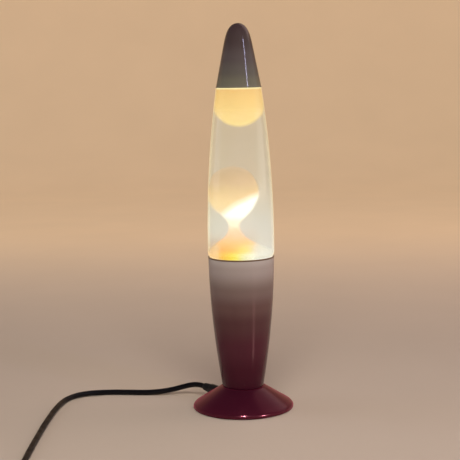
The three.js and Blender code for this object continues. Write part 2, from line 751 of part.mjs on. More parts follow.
// The coil's middle line, and the same tube swept along it ring by ring
function coilPoints() {
  const pitch = cordDiameter + coilGap;
  const middle = turnsPerLayer * 2 * Math.PI;
  const count = Math.round(2 * turnsPerLayer * stepsPerTurn);
  return Array.from({ length: count + 1 }, (_, step) => {
    const turned = (2 * middle * step) / count;
    const radius = coilInnerRadius + (pitch * Math.abs(turned - middle)) / (2 * Math.PI);
    const climb = Math.min(Math.max((turned - middle) / Math.PI + 1 / 2, 0), 1);
    const angle = coilStart + turned;
    const place = [coilCentre[0] + radius * Math.cos(angle), coilCentre[1] + radius * Math.sin(angle)];
    return new THREE.Vector3(...place, cordRadius + pitch * climb);
  });
}

function sweep(points, radius, sides) {
  const positions = [];
  const faces = [];
  points.forEach((point, index) => {
    const along = points[Math.min(index + 1, points.length - 1)].clone()
      .sub(points[Math.max(index - 1, 0)]).normalize();
    const across = new THREE.Vector3(0, 0, 1).cross(along).normalize();
    const up = along.clone().cross(across);
    for (let side = 0; side < sides; side += 1) {
      const angle = (2 * Math.PI * (side + 1 / 2)) / sides;
      const corner = point.clone().addScaledVector(across, radius * Math.cos(angle))
        .addScaledVector(up, radius * Math.sin(angle));
      positions.push(corner.x, corner.y, corner.z);
    }
  });
  for (let index = 0; index < points.length - 1; index += 1) {
    for (let side = 0; side < sides; side += 1) {
      const next = (side + 1) % sides;
      const [a, b] = [index * sides + side, index * sides + next];
      faces.push(a, b, b + sides, a, b + sides, a + sides);
    }
  }
  const last = (points.length - 1) * sides;
  for (let side = 1; side < sides - 1; side += 1) {
    faces.push(0, side + 1, side, last, last + side, last + side + 1);
  }
  const geometry = new THREE.BufferGeometry();
  geometry.setAttribute('position', new THREE.Float32BufferAttribute(positions, 3));
  geometry.setIndex(faces);
  return geometry;
}

function leastSelfGap(points, diameter) {
  let least = Infinity;
  const skipped = Math.round(stepsPerTurn / 2);
  for (let first = 0; first < points.length; first += 1) {
    for (let second = first + skipped; second < points.length - 1; second += 1) {
      const run = new THREE.Line3(points[second], points[second + 1]);
      const nearest = run.closestPointToPoint(points[first], true, new THREE.Vector3());
      least = Math.min(least, nearest.distanceTo(points[first]) - diameter);
    }
  }
  return least;
}

function makeCord() {
  const toWorld = new THREE.Matrix4().makeRotationZ(cordAzimuth);
  const start = [glandOutside - cordDiameter + clearance, glandOutside + cordRadius]
    .map((along) => new THREE.Vector3(0, 0, along).applyMatrix4(glandPlace).applyMatrix4(toWorld).toArray());
  const switchHalf = switchLength / 2;
  const [switchX, switchY] = switchPlace();
  const reach = switchHalf - switchWall - cordDiameter / 2;
  const leadPath = [...start, ...leadRoute, [switchX, switchY + reach, switchLowerHeight]];
  part('cord_lead', tube(leadPath, cordRadius, cordSides, leadSteps), blackCord, lamp);

  const coil = coilPoints();
  const beyond = (end, before, distance) => (
    end.clone().sub(before).setLength(distance).add(end).toArray());
  const [first, second, nextToLast, last] = [coil[0], coil[1], coil.at(-2), coil.at(-1)];
  const coilIn = [beyond(first, second, cordDiameter), beyond(first, second, clearance)];
  const coilOut = [beyond(last, nextToLast, clearance), beyond(last, nextToLast, cordDiameter)];
  const linkPath = [[switchX, switchY - reach, switchLowerHeight], ...linkRoute, ...coilIn];
  part('cord_link', tube(linkPath, cordRadius, cordSides, linkSteps), blackCord, lamp);
  part('cord_coil', sweep(coil, cordRadius, coilSides), blackCord, lamp);
  const plugEntry = [plugStart[0], plugStart[1] - cordDiameter, plugThickness / 2];
  const tailPath = [...coilOut, ...tailRoute, plugEntry];
  part('cord_tail', tube(tailPath, cordRadius, cordSides, tailSteps), blackCord, lamp);

  const gap = leastSelfGap(coil, cordDiameter);
  const coilLength = coil.slice(1).reduce((sum, point, index) => sum + point.distanceTo(coil[index]), 0);
  const lengths = [leadPath, linkPath, tailPath].map(routeLength);
  console.log(`coil: least gap to itself ${gap.toFixed(2)} mm, length ${coilLength.toFixed(0)} mm`);
  console.log(`lead, link and tail: ${lengths.map((length) => length.toFixed(0)).join(', ')} mm`);
}

// The switch lies in line with the end of the lead, its long side along Y
function switchPlace() {
  const [x, y] = leadRoute.at(-1);
  return [x, y - switchLength / 2];
}

function roundedPlate(length, width, radius, bottom, top) {
  const [x, y] = [width / 2, length / 2];
  const outline = new THREE.Shape();
  outline.moveTo(x, -y + radius);
  outline.lineTo(x, y - radius);
  outline.absarc(x - radius, y - radius, radius, 0, Math.PI / 2);
  outline.absarc(-x + radius, y - radius, radius, Math.PI / 2, Math.PI);
  outline.absarc(-x + radius, -y + radius, radius, Math.PI, (3 * Math.PI) / 2);
  outline.absarc(x - radius, -y + radius, radius, (3 * Math.PI) / 2, 2 * Math.PI);
  return new THREE.ExtrudeGeometry(outline, { depth: top - bottom, bevelEnabled: false, curveSegments: 3 })
    .translate(0, 0, bottom);
}

function makeSwitch() {
  const group = new THREE.Group();
  const [x, y] = switchPlace();
  group.position.set(x, y, 0);
  lamp.add(group);
  const upperBottom = switchLowerHeight + clearance;
  const top = upperBottom + switchUpperHeight;
  const ceiling = top - switchWall;
  const pocket = (bottom, end) => roundedPlate(switchLength - 2 * switchWall, switchWidth - 2 * switchWall,
    switchCornerRadius - switchWall, bottom, end);
  const channel = rod(cordRadius + clearance, switchLength + cutOverrun).translate(0, 0, switchLowerHeight);
  const corners = [[1, 1], [-1, -1]].map(([sideX, sideY]) => (
    [sideX * switchPostOffset[1], sideY * switchPostOffset[0]]));
  const at = (geometry, [px, py]) => geometry.translate(px, py, 0);

  const lowerPosts = corners.map((corner) => at(disc(switchPostRadius, 0, switchLowerHeight), corner));
  const headTop = switchWall / 2 + switchScrewHead;
  const lowerHoles = corners.flatMap((corner) => [
    at(disc(switchScrewHeadRadius + clearance, -cutOverrun, headTop + clearance), corner),
    at(disc(switchScrewRadius + clearance, 0, switchLowerHeight + cutOverrun), corner)]);
  const lower = cut(roundedPlate(switchLength, switchWidth, switchCornerRadius, 0, switchLowerHeight),
    pocket(switchWall, switchLowerHeight + cutOverrun));
  part('switch_lower_shell', cut(join(lower, ...lowerPosts), channel, ...lowerHoles), blackPlastic, group);

  const pivotHeight = top - pivotDrop;
  const halfWindow = rockerLength / 2 + rockerRise * Math.sin(rockerTilt) + clearance;
  const windowWidth = rockerWidth + 2 * clearance;
  const window = block(windowWidth, 2 * halfWindow, 2 * switchUpperHeight, 0, 0, switchLowerHeight);
  const upperShell = cut(
    roundedPlate(switchLength, switchWidth, switchCornerRadius, upperBottom, top),
    pocket(upperBottom - cutOverrun, ceiling),
  );
  const postTop = top - switchWall / 2;
  const upperPosts = corners.map((corner) => at(disc(switchPostRadius, upperBottom, postTop), corner));
  const cheekX = rockerWidth / 2 + clearance + cheekThickness / 2;
  const cheeks = [-1, 1].map((side) => block(cheekThickness, rockerLength / 2, cheekDrop + switchWall / 2,
    side * cheekX, 0, ceiling - cheekDrop));
  const pivotHole = rod(pivotRadius + clearance, rockerWidth + 2 * (clearance + cheekThickness) + cutOverrun)
    .rotateZ(Math.PI / 2).translate(0, 0, pivotHeight);
  const pilots = corners.map((corner) => at(disc(switchScrewRadius + clearance, upperBottom - cutOverrun,
    ceiling), corner));
  const upper = join(upperShell, ...upperPosts, ...cheeks);
  part('switch_upper_shell', cut(upper, window, pivotHole, channel, ...pilots), blackPlastic, group);

  const half = rockerLength / 2;
  const heel = half * rockerHeelShare;
  const side = new THREE.Shape([
    [-half, 0], [-heel, -rockerDrop], [heel, -rockerDrop], [half, 0], [half, rockerRise],
    [0, rockerRise - rockerDip], [-half, rockerRise],
  ].map((corner) => new THREE.Vector2(...corner)));
  const key = new THREE.ExtrudeGeometry(side, { depth: rockerWidth, bevelEnabled: false })
    .translate(0, 0, -rockerWidth / 2).rotateY(Math.PI / 2).rotateX(Math.PI / 2);
  const pivot = rod(pivotRadius, rockerWidth + 2 * clearance + cheekThickness).rotateZ(Math.PI / 2);
  const rocker = join(key, pivot).rotateX(-rockerTilt).translate(0, 0, pivotHeight);
  part('switch_rocker', rocker, blackPlastic, group);

  corners.forEach((corner, index) => {
    const headBottom = switchWall / 2;
    const screw = spin([
      [0, headBottom], [switchScrewHeadRadius, headBottom], [switchScrewHeadRadius, headTop],
      [switchScrewRadius, headTop], [switchScrewRadius, ceiling - clearance], [0, ceiling - clearance],
    ], smallSegments);
    part(['switch_screw_near', 'switch_screw_far'][index], at(screw, corner), zincSteel, group);
  });
  for (const [name, end] of [['switch_contact_in', 1], ['switch_contact_out', -1]]) {
    const contact = block(switchContactWidth, switchContactLength, switchContactHeight, 0,
      end * switchContactOffset, switchWall + clearance);
    part(name, contact, brass, group);
  }
}

function makePlug() {
  const group = new THREE.Group();
  group.position.set(plugStart[0], plugStart[1], 0);
  lamp.add(group);
  const middle = plugThickness / 2;
  const bodyStart = -reliefLength;
  const face = bodyStart - plugLength;
  const outline = new THREE.Shape([
    new THREE.Vector2(-plugFaceWidth / 2 + plugBevel, face + plugBevel),
    new THREE.Vector2(plugFaceWidth / 2 - plugBevel, face + plugBevel),
    new THREE.Vector2(plugFaceWidth / 2 - plugBevel, face + plugLength / 2),
    new THREE.Vector2(plugNeckWidth / 2 - plugBevel, bodyStart - plugBevel),
    new THREE.Vector2(-plugNeckWidth / 2 + plugBevel, bodyStart - plugBevel),
    new THREE.Vector2(-plugFaceWidth / 2 + plugBevel, face + plugLength / 2),
  ]);
  const body = new THREE.ExtrudeGeometry(outline, {
    depth: plugThickness - 2 * plugBevel, bevelEnabled: true, bevelThickness: plugBevel, bevelSize: plugBevel,
    bevelSegments: 2,
  }).translate(0, 0, plugBevel);
  const relief = spin([
    [0, 0], [reliefTipRadius, 0], [reliefRootRadius, reliefLength + plugBevel], [0, reliefLength + plugBevel],
  ], smallSegments).rotateX(Math.PI / 2).translate(0, 0, middle);
  const cordHole = disc(cordRadius + clearance, -cutOverrun, cordDiameter + clearance)
    .rotateX(Math.PI / 2).translate(0, 0, middle);
  const pinAt = (geometry, side) => (
    geometry.rotateX(Math.PI / 2).translate((side * pinSpacing) / 2, face, middle));
  const sockets = [-1, 1].map((side) => (
    pinAt(disc(pinRadius + clearance, -pinSocketDepth, cutOverrun), side)));
  part('plug_body', cut(join(body, relief), cordHole, ...sockets), blackPlastic, group);
  for (const [name, side] of [['plug_pin_left', -1], ['plug_pin_right', 1]]) {
    const pinStart = clearance - pinSocketDepth;
    const pin = spin([
      [0, pinStart], [pinRadius, pinStart], [pinRadius, pinLength - pinRadius / 2],
      [pinRadius / 2, pinLength], [0, pinLength],
    ], smallSegments);
    part(name, pinAt(pin, side), brass, group);
  }
}

makeFoot();
makeGland();
makeBody();
makeTube();
const bulbBottom = makeHolder();
makeCores();
makeBulb(bulbBottom);
makeBottle();
makeCrown();
makeCap();
makeCord();
makeSwitch();
makePlug();

export default lamp;
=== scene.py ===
import math

import bmesh
import bpy
from mathutils import Matrix, Vector


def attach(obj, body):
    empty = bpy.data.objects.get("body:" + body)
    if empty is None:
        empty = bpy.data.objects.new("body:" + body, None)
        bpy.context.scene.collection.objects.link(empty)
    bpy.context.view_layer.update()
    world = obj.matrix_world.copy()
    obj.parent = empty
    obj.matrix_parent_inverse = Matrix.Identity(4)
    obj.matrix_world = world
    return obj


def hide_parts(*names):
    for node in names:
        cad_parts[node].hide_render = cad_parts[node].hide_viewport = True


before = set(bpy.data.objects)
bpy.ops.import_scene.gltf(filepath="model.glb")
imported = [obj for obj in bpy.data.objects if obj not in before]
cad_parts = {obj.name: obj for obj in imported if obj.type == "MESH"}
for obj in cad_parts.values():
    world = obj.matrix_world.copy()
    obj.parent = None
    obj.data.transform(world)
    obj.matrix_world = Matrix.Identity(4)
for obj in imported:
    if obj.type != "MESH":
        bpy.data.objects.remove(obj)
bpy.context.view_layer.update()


# Camera. It stands about a metre in front of the lamp, level with the top of the bottle and tipped
# down a little, with a long lens. Colours are shown as they are, with no film look.
photo_width_pixels = 460
focal_length_pixels = 1180
sensor_width_mm = 36
camera_place = (-0.0098, -1.0632, 0.3046)
camera_tip = math.radians(-7.5)
camera_roll = math.radians(0.95)


def in_scene(name, data):
    """A new object with this data, in the scene."""
    thing = bpy.data.objects.new(name, data)
    bpy.context.scene.collection.objects.link(thing)
    return thing


lens = bpy.data.cameras.new("camera")
lens.sensor_width = sensor_width_mm
lens.lens = focal_length_pixels / photo_width_pixels * sensor_width_mm
lens.clip_start = 0.05
camera = in_scene("camera", lens)
camera.matrix_world = (
    Matrix.Translation(camera_place)
    @ Matrix.Rotation(camera_tip, 4, "X")
    @ Matrix.Rotation(camera_roll, 4, "Y")
    @ Matrix.Rotation(math.radians(90), 4, "X")
)
bpy.context.scene.camera = camera
bpy.context.scene.view_settings.view_transform = "Standard"


# Cord to the switch. A round two-core flex, 5 mm thick, with a satin black plastic sheath that has
# picked up a little dust. It comes straight out of the gland, drops to the table and runs round to
# the switch in the loose curve that it took when it was put down.
def linear(red, green, blue):
    """A colour that is written in screen values from 0 to 255, as the shaders take it."""
    shares = [value / 255 for value in (red, green, blue)]
    light = [s / 12.92 if s <= 0.04045 else ((s + 0.055) / 1.055) ** 2.4 for s in shares]
    return (*light, 1.0)


def metres(point):
    """A place that is written in millimetres."""
    return Vector(point) / 1000


def feed(node, key, value):
    """Give one input of a node, by name or number, a plain value or another node's socket."""
    if isinstance(value, bpy.types.NodeSocket):
        node.id_data.links.new(value, node.inputs[key])
    else:
        node.inputs[key].default_value = value


def add(tree, kind, inputs=None, **settings):
    """One node of a tree, with its inputs and settings."""
    made = tree.nodes.new(kind)
    for name, value in settings.items():
        setattr(made, name, value)
    for key, value in (inputs or {}).items():
        feed(made, key, value)
    return made


def worked(tree, operation, *values):
    """The result of one step of arithmetic in a tree."""
    return add(tree, "ShaderNodeMath", dict(enumerate(values)), operation=operation).outputs[0]


def finish(name, roughness, metallic=0.0):
    """A new material with its shader, and the object's own coordinates for its patterns."""
    material = bpy.data.materials.new(name)
    material.use_nodes = True
    tree = material.node_tree
    shader = tree.nodes["Principled BSDF"]
    feed(shader, "Roughness", roughness)
    feed(shader, "Metallic", metallic)
    place = add(tree, "ShaderNodeTexCoord").outputs["Object"]
    return material, tree, shader, place


def grain(tree, place, scale, detail=3.0, stretch=(1, 1, 1)):
    """Fine noise on the object, from 0 to 1. The stretch makes it longer one way than another."""
    spread = add(tree, "ShaderNodeMapping", {"Vector": place, "Scale": stretch}).outputs[0]
    noise = add(tree, "ShaderNodeTexNoise", {"Vector": spread, "Scale": scale, "Detail": detail})
    return noise.outputs["Fac"]


def shown(colour):
    """A stop's colour as a shader takes it, from one level, three screen values or four plain ones."""
    if not hasattr(colour, "__len__"):
        return (colour, colour, colour, 1)
    return linear(*colour) if len(colour) == 3 else colour


def ramp(tree, share, stops, smooth="LINEAR"):
    """Colours or levels by share: each stop is its place from 0 to 1 and its colour or level."""
    made = add(tree, "ShaderNodeValToRGB", {"Fac": share})
    band = made.color_ramp
    band.interpolation = smooth
    while len(band.elements) < len(stops):
        band.elements.new(0.5)
    for element, (place, colour) in zip(band.elements, stops):
        element.position = place
        element.color = shown(colour)
    return made.outputs["Color"]


def spanned(tree, value, low, high, start=0.0, end=1.0):
    """A value between two limits, brought to run from the start to the end and no further."""
    limits = {"Value": value, "From Min": low, "From Max": high, "To Min": start, "To Max": end}
    return add(tree, "ShaderNodeMapRange", limits).outputs["Result"]


def axes_of(tree, place):
    """The X, Y and Z of a place, as the outputs of one node."""
    return add(tree, "ShaderNodeSeparateXYZ", {"Vector": place}).outputs


def height_share(tree, place, low, high):
    """How far up a point is between two heights in millimetres, from 0 to 1."""
    return spanned(tree, axes_of(tree, place)["Z"], low / 1000, high / 1000)


def raise_surface(tree, shader, height, depth, strength=1.0):
    """Give a shader the small bumps that a pattern draws, as deep as the depth in millimetres."""
    bump = add(tree, "ShaderNodeBump", {"Height": height, "Distance": depth / 1000, "Strength": strength})
    feed(shader, "Normal", bump.outputs["Normal"])


def sheath_finish():
    """Satin black sheath: a fine moulded skin with specks of dust."""
    material, tree, shader, place = finish("cord sheath", 0.42)
    feed(shader, "Specular IOR Level", 0.25)
    dust = grain(tree, place, 140, 4)
    colour = ramp(tree, dust, [(0.35, (6, 6, 12)), (0.65, (11, 11, 18)), (0.85, (26, 24, 29))])
    feed(shader, "Base Color", colour)
    feed(shader, "Roughness", ramp(tree, dust, [(0.3, 0.34), (0.75, 0.6)]))
    raise_surface(tree, shader, grain(tree, place, 900, 2), 0.06, 0.6)
    return material


def laid_cord(name, route, thickness, looks):
    """A cord along a route of places in millimetres, as one smooth open curve with a round section."""
    curve = bpy.data.curves.new(name, "CURVE")
    curve.dimensions = "3D"
    curve.resolution_u = 8
    curve.bevel_depth = thickness / 2000
    curve.bevel_resolution = 4
    curve.use_fill_caps = True
    curve.materials.append(looks)
    line = curve.splines.new("BEZIER")
    line.bezier_points.add(len(route) - 1)
    for knot, place in zip(line.bezier_points, route):
        knot.co = metres(place)
        knot.handle_left_type = knot.handle_right_type = "AUTO"
    return in_scene(name, curve)


cord_thickness = 5.0
cord_azimuth = math.radians(138)
gland_tilt = math.radians(6)
gland_reach, gland_height = 32.2, 8.6
cord_shows, cord_clear = 12.3, 19.5
gland_seat = Vector((math.cos(cord_azimuth), math.sin(cord_azimuth), 0)) * gland_reach
gland_seat.z = gland_height
gland_way = Vector((
    math.cos(gland_tilt) * math.cos(cord_azimuth),
    math.cos(gland_tilt) * math.sin(cord_azimuth),
    math.sin(gland_tilt),
))
lead_route = [
    gland_seat + cord_shows * gland_way, gland_seat + cord_clear * gland_way,
    (-42.5, 37.9, 10.7), (-48.6, 41.9, 9.7), (-56.5, 44.3, 7.6), (-66.5, 44.2, 5.1), (-78, 43.4, 3.4),
    (-92, 43.2, 2.7), (-108, 44.7, 2.6), (-124, 46.2, 2.6), (-140, 45.2, 2.6), (-150, 42.4, 2.6),
    (-159.5, 35.5, 2.6), (-166, 25, 2.6), (-169.8, 12, 2.6), (-172.2, -5, 2.6), (-174, -27, 2.6),
    (-175.2, -55, 2.6), (-176, -90, 2.6), (-176.4, -130, 2.6), (-176.4, -165, 2.7),
    (-176.4, -182, 3.7), (-176.4, -196, 6.1), (-176.4, -205, 7), (-176.4, -209.2, 7),
]
sheath = sheath_finish()
lead = laid_cord("lead", lead_route, cord_thickness, sheath)
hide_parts("cord_lead")
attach(lead, "base")


# In-line switch. Two moulded black shells with softened edges meet at a parting line round the
# middle, and a hollowed rocker tilts in the window of the upper one. Ribs at both ends give grip.
def smoothed(mesh, angle=35):
    """Shade a mesh smooth, but for the edges that are sharper than the angle."""
    for face in mesh.polygons:
        face.use_smooth = True
    mesh.set_sharp_from_angle(angle=math.radians(angle))
    return mesh


def placed(name, mesh, looks):
    """A new object with this mesh and material, where the mesh has it."""
    mesh.materials.clear()
    mesh.materials.append(looks)
    return in_scene(name, mesh)


def skinned(name, rings, looks, closed=False, angle=35):
    """A shape with a skin over rings of places in millimetres. A ring of one place is a point."""
    build = bmesh.new()
    rows = [[build.verts.new(metres(place)) for place in ring] for ring in rings]
    pairs = list(zip(rows, rows[1:] + rows[:1])) if closed else list(zip(rows, rows[1:]))
    for low, high in pairs:
        count = max(len(low), len(high))
        for index in range(count):
            ahead = (index + 1) % count
            below = [low[index % len(low)], low[ahead % len(low)]]
            above = [high[ahead % len(high)], high[index % len(high)]]
            build.faces.new(list(dict.fromkeys(below + above)))
    if not closed and len(rows[0]) > 1:
        build.faces.new(rows[0][::-1])
    if not closed and len(rows[-1]) > 1:
        build.faces.new(rows[-1])
    mesh = bpy.data.meshes.new(name)
    build.to_mesh(mesh)
    build.free()
    return placed(name, smoothed(mesh, angle), looks)


def plate_ring(length, width, corner, height, steps=8):
    """A rectangle with round corners, as a ring of places. The length runs along Y."""
    middles = [(1, 1, 0), (-1, 1, 1), (-1, -1, 2), (1, -1, 3)]
    ring = []
    for across, along, quarter in middles:
        for step in range(steps + 1):
            angle = (quarter + step / steps) * math.pi / 2
            x = across * (width / 2 - corner) + corner * math.cos(angle)
            y = along * (length / 2 - corner) + corner * math.sin(angle)
            ring.append((switch_middle[0] + x, switch_middle[1] + y, height))
    return ring


def joined_axes(tree, **axes):
    """A place or a way from its X, Y and Z."""
    return add(tree, "ShaderNodeCombineXYZ", axes).outputs[0]


def new_tree(name, **sizes):
    """A geometry tree with named inputs for its sizes, in millimetres or counts, and its material."""
    tree = bpy.data.node_groups.new(name, "GeometryNodeTree")
    kinds = {int: "NodeSocketInt", float: "NodeSocketFloat"}
    tree.interface.new_socket("Geometry", in_out="INPUT", socket_type="NodeSocketGeometry")
    for label, value in sizes.items():
        socket = tree.interface.new_socket(label, in_out="INPUT", socket_type=kinds[type(value)])
        socket.default_value = value
    tree.interface.new_socket("Finish", in_out="INPUT", socket_type="NodeSocketMaterial")
    tree.interface.new_socket("Geometry", in_out="OUTPUT", socket_type="NodeSocketGeometry")
    return tree, add(tree, "NodeGroupInput").outputs


def close_tree(tree, geometry, given):
    """End a tree as the export needs it: real meshes with their material."""
    real = add(tree, "GeometryNodeRealizeInstances", {"Geometry": geometry}).outputs[0]
    smooth = add(tree, "GeometryNodeSetShadeSmooth", {"Geometry": real}).outputs[0]
    painted = add(tree, "GeometryNodeSetMaterial", {"Geometry": smooth, "Material": given["Finish"]})
    add(tree, "NodeGroupOutput", {"Geometry": painted.outputs[0]})


def grown(name, tree, looks, seed=None, **sizes):
    """The plain mesh piece that a tree makes, from its own shapes or from a seed mesh."""
    piece = in_scene(name, seed or bpy.data.meshes.new(name))
    growth = piece.modifiers.new("growth", "NODES")
    growth.node_group = tree
    for socket in tree.interface.items_tree:
        if socket.in_out == "INPUT" and socket.name in sizes:
            growth[socket.identifier] = sizes[socket.name]
        if socket.in_out == "INPUT" and socket.name == "Finish":
            growth[socket.identifier] = looks
    ready = piece.evaluated_get(bpy.context.evaluated_depsgraph_get())
    mesh = bpy.data.meshes.new_from_object(ready)
    piece.modifiers.remove(growth)
    piece.data = smoothed(mesh)
    mesh.name = name
    return piece


def moulded_finish(name, colour, roughness=0.38):
    """Moulded plastic: a fine spark-eroded grain, with the shine a little worn."""
    material, tree, shader, place = finish(name, roughness)
    wear = grain(tree, place, 70, 4)
    darker = [value * 0.72 for value in colour[:3]] + [1]
    feed(shader, "Base Color", ramp(tree, wear, [(0.3, darker), (0.75, colour)]))
    dulled = ramp(tree, wear, [(0.3, roughness - 0.08), (0.75, roughness + 0.1)])
    feed(shader, "Roughness", dulled)
    raise_surface(tree, shader, grain(tree, place, 1900, 2), 0.05, 0.5)
    return material


def rib_tree():
    """Raised bars side by side along Y, each a lying capsule half sunk in the face below it."""
    tree, given = new_tree("grip ribs", Count=5, Pitch=2.6, Length=13.0, Radius=0.55)
    step = joined_axes(tree, Y=worked(tree, "DIVIDE", given["Pitch"], 1000))
    places = add(tree, "GeometryNodeMeshLine", {"Count": given["Count"], "Offset": step}).outputs[0]
    ball = add(tree, "GeometryNodeMeshUVSphere", {"Segments": 12, "Rings": 8, "Radius": 0.001}).outputs[0]
    half = worked(tree, "DIVIDE", given["Length"], 2)
    size = joined_axes(tree, X=half, Y=given["Radius"], Z=given["Radius"])
    ribs = add(tree, "GeometryNodeInstanceOnPoints", {"Points": places, "Instance": ball, "Scale": size})
    close_tree(tree, ribs.outputs[0], given)
    return tree


def moved(piece, place):
    """Move a piece's mesh to its place in the frame, and leave its object at the origin."""
    piece.data.transform(Matrix.Translation(metres(place)))
    return piece


switch_middle = (-176.4, -236)
switch_length, switch_width, switch_corner = 62, 25, 9
switch_parting, switch_gap, switch_top = 7, 0.3, 17.5
switch_edge, switch_bevel = 2.2, 0.4
window_length, window_width, window_corner = 15.6, 10.0, 1.2
window_bevel, window_depth = 0.3, 3.5
rocker_length, rocker_width, rocker_pivot_height = 15, 9.4, 14.9
rocker_rise, rocker_dip, rocker_drop, rocker_bevel = 4.4, 1.1, 2, 0.5
rocker_steps, rocker_stem_share = 12, 0.3
rocker_tilt = math.radians(-8)
rib_count, rib_pitch, rib_length, rib_radius, rib_distance = 5, 2.6, 13.0, 0.55, 20

switch_plastic = moulded_finish("switch plastic", linear(30, 29, 32))
rocker_plastic = moulded_finish("rocker plastic", linear(38, 37, 40), 0.3)


def switch_ring(height, inset):
    """The switch's outline at a height, moved in by a distance."""
    return plate_ring(switch_length - 2 * inset, switch_width - 2 * inset, switch_corner - inset, height)


def quarter_round(steps):
    """Places on a quarter circle from (0, 0) to (1, 1), which sets off along the first axis."""
    turns = [step / steps * math.pi / 2 for step in range(steps + 1)]
    return [(math.sin(turn), 1 - math.cos(turn)) for turn in turns]


def rounded_edge(start, way):
    """Heights and insets round a shell's outer edge, from its side on to its flat face."""
    return [(start + way * switch_edge * up, switch_edge * inward) for up, inward in quarter_round(5)]


lower_rings = [switch_ring(h, i) for h, i in rounded_edge(switch_edge, -1)[::-1]]
lower_rings += [switch_ring(switch_parting - switch_bevel, 0), switch_ring(switch_parting, switch_bevel)]
lower_shell = skinned("switch_lower", lower_rings, switch_plastic)
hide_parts("switch_lower_shell")

upper_low = switch_parting + switch_gap
upper_rings = [switch_ring(upper_low, switch_bevel), switch_ring(upper_low + switch_bevel, 0)]
upper_rings += [switch_ring(h, i) for h, i in rounded_edge(switch_top - switch_edge, 1)]
for depth, spare in [(0, window_bevel), (window_bevel, 0), (window_depth, 0)]:
    length, width = window_length + 2 * spare, window_width + 2 * spare
    upper_rings.append(plate_ring(length, width, window_corner, switch_top - depth))
upper_shell = skinned("switch_upper", upper_rings, switch_plastic)
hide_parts("switch_upper_shell")

rocker_rings = []
for step in range(rocker_steps + 1):
    along = rocker_length * (step / rocker_steps - 0.5)
    top = rocker_rise - rocker_dip * (1 - (2 * along / rocker_length) ** 2)
    low = -rocker_drop if abs(along) < rocker_length * rocker_stem_share else 0
    half = rocker_width / 2
    right_side = [(half, low), (half, top - rocker_bevel), (half - rocker_bevel, top)]
    left_side = [(-x, z) for x, z in right_side]
    section = [left_side[0], *right_side, *left_side[:0:-1]]
    rocker_rings.append([(x, along, z) for x, z in section])
rocker = skinned("rocker", [ring[::-1] for ring in rocker_rings], rocker_plastic)
rocker.data.transform(Matrix.Rotation(rocker_tilt, 4, "X"))
moved(rocker, (*switch_middle, rocker_pivot_height))
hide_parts("switch_rocker")
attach(rocker, "rocker")

rib_rows = []
for end in (-1, 1):
    ribs = grown(f"switch_ribs_{'near' if end < 0 else 'far'}", rib_tree(), switch_plastic,
                 Count=rib_count, Pitch=rib_pitch, Length=rib_length, Radius=rib_radius)
    first = switch_middle[1] + end * rib_distance - rib_pitch * (rib_count - 1) / 2
    rib_rows.append(moved(ribs, (switch_middle[0], first, switch_top)))
for piece in (lower_shell, upper_shell, *rib_rows):
    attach(piece, "base")


# Cord to the plug. The rest of the same flex leaves the far end of the switch. What isn't needed is
# wound into a flat coil of five turns, the inner half on top of the outer, and the end has the plug.
def coil_route():
    """The coil's turns, inwards on the table and then outwards on top of those turns."""
    pitch, turns, innermost = 5.52, 5.25, 20.8
    middle, start_angle, steps = (-118, -252), math.radians(280), 16
    inner_turn, climb_start = turns / 2, turns / 2 - 0.25
    places = []
    for step in range(round(turns * steps) + 1):
        turned = step / steps
        radius = innermost + pitch * abs(turned - inner_turn)
        climb = min(1, max(0, 2 * (turned - climb_start)))
        angle = start_angle + 2 * math.pi * turned
        x, y = middle[0] + radius * math.cos(angle), middle[1] + radius * math.sin(angle)
        places.append((x, y, cord_thickness / 2 + pitch * climb))
    return places


link_route = [
    (-176.4, -262.8, 7), (-176.4, -276.5, 6.3), (-173.2, -288.2, 4.6), (-164.6, -296.8, 3.3),
    (-152.9, -300, 2.8), (-142.6, -298.3, 2.65), (-132.4, -294.4, 2.6), (-122.2, -290, 2.55),
]
tail_route = [
    (-85.2, -234.5, 7.1), (-85.2, -228.5, 6), (-82, -216.5, 4.2), (-73.2, -207.7, 3.1),
    (-61.2, -204.5, 2.65), (-49.2, -207.7, 3.1), (-40.4, -216.5, 4.2), (-37.2, -228.5, 6.1),
    (-37.2, -233.5, 6.8), (-37.2, -239, 6.85),
]
plug_lead_route = link_route + coil_route() + tail_route
plug_lead = laid_cord("plug_lead", plug_lead_route, cord_thickness, sheath)
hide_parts("cord_link", "cord_coil", "cord_tail")
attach(plug_lead, "base")


# Plug. A flat two-pin plug moulded on the end of the cord in soft black plastic, wider at its face
# than at its neck, with a tapered and ribbed strain relief, and two plated round pins.
def circle(steps):
    """Angles all round a circle, evenly spread."""
    return [2 * math.pi * index / steps for index in range(steps)]


def turned(name, outline, looks, segments=96, angle=35):
    """A piece of revolution: an outline of radius and height in millimetres, taken round Z.
    An outline that starts and ends on the axis is closed by its poles, another by its own loop."""
    rings = []
    for radius, height in outline:
        if radius < 1e-6:
            rings.append([(0, 0, height)])
            continue
        rings.append([(radius * math.cos(a), radius * math.sin(a), height) for a in circle(segments)])
    return skinned(name, rings, looks, closed=len(rings[0]) > 1, angle=angle)


def eased(corners, steps=5):
    """An outline with its corners rounded. A corner is radius, height and the rounding's reach."""
    outline = []
    for index, corner in enumerate(corners):
        here = Vector(corner[:2])
        if len(corner) == 2:
            outline.append(tuple(here))
            continue
        before = Vector(corners[index - 1][:2])
        after = Vector(corners[(index + 1) % len(corners)][:2])
        first = here + (before - here).normalized() * corner[2]
        last = here + (after - here).normalized() * corner[2]
        for step in range(steps + 1):
            share = step / steps
            outline.append(tuple(first.lerp(here, share).lerp(here.lerp(last, share), share)))
    return outline


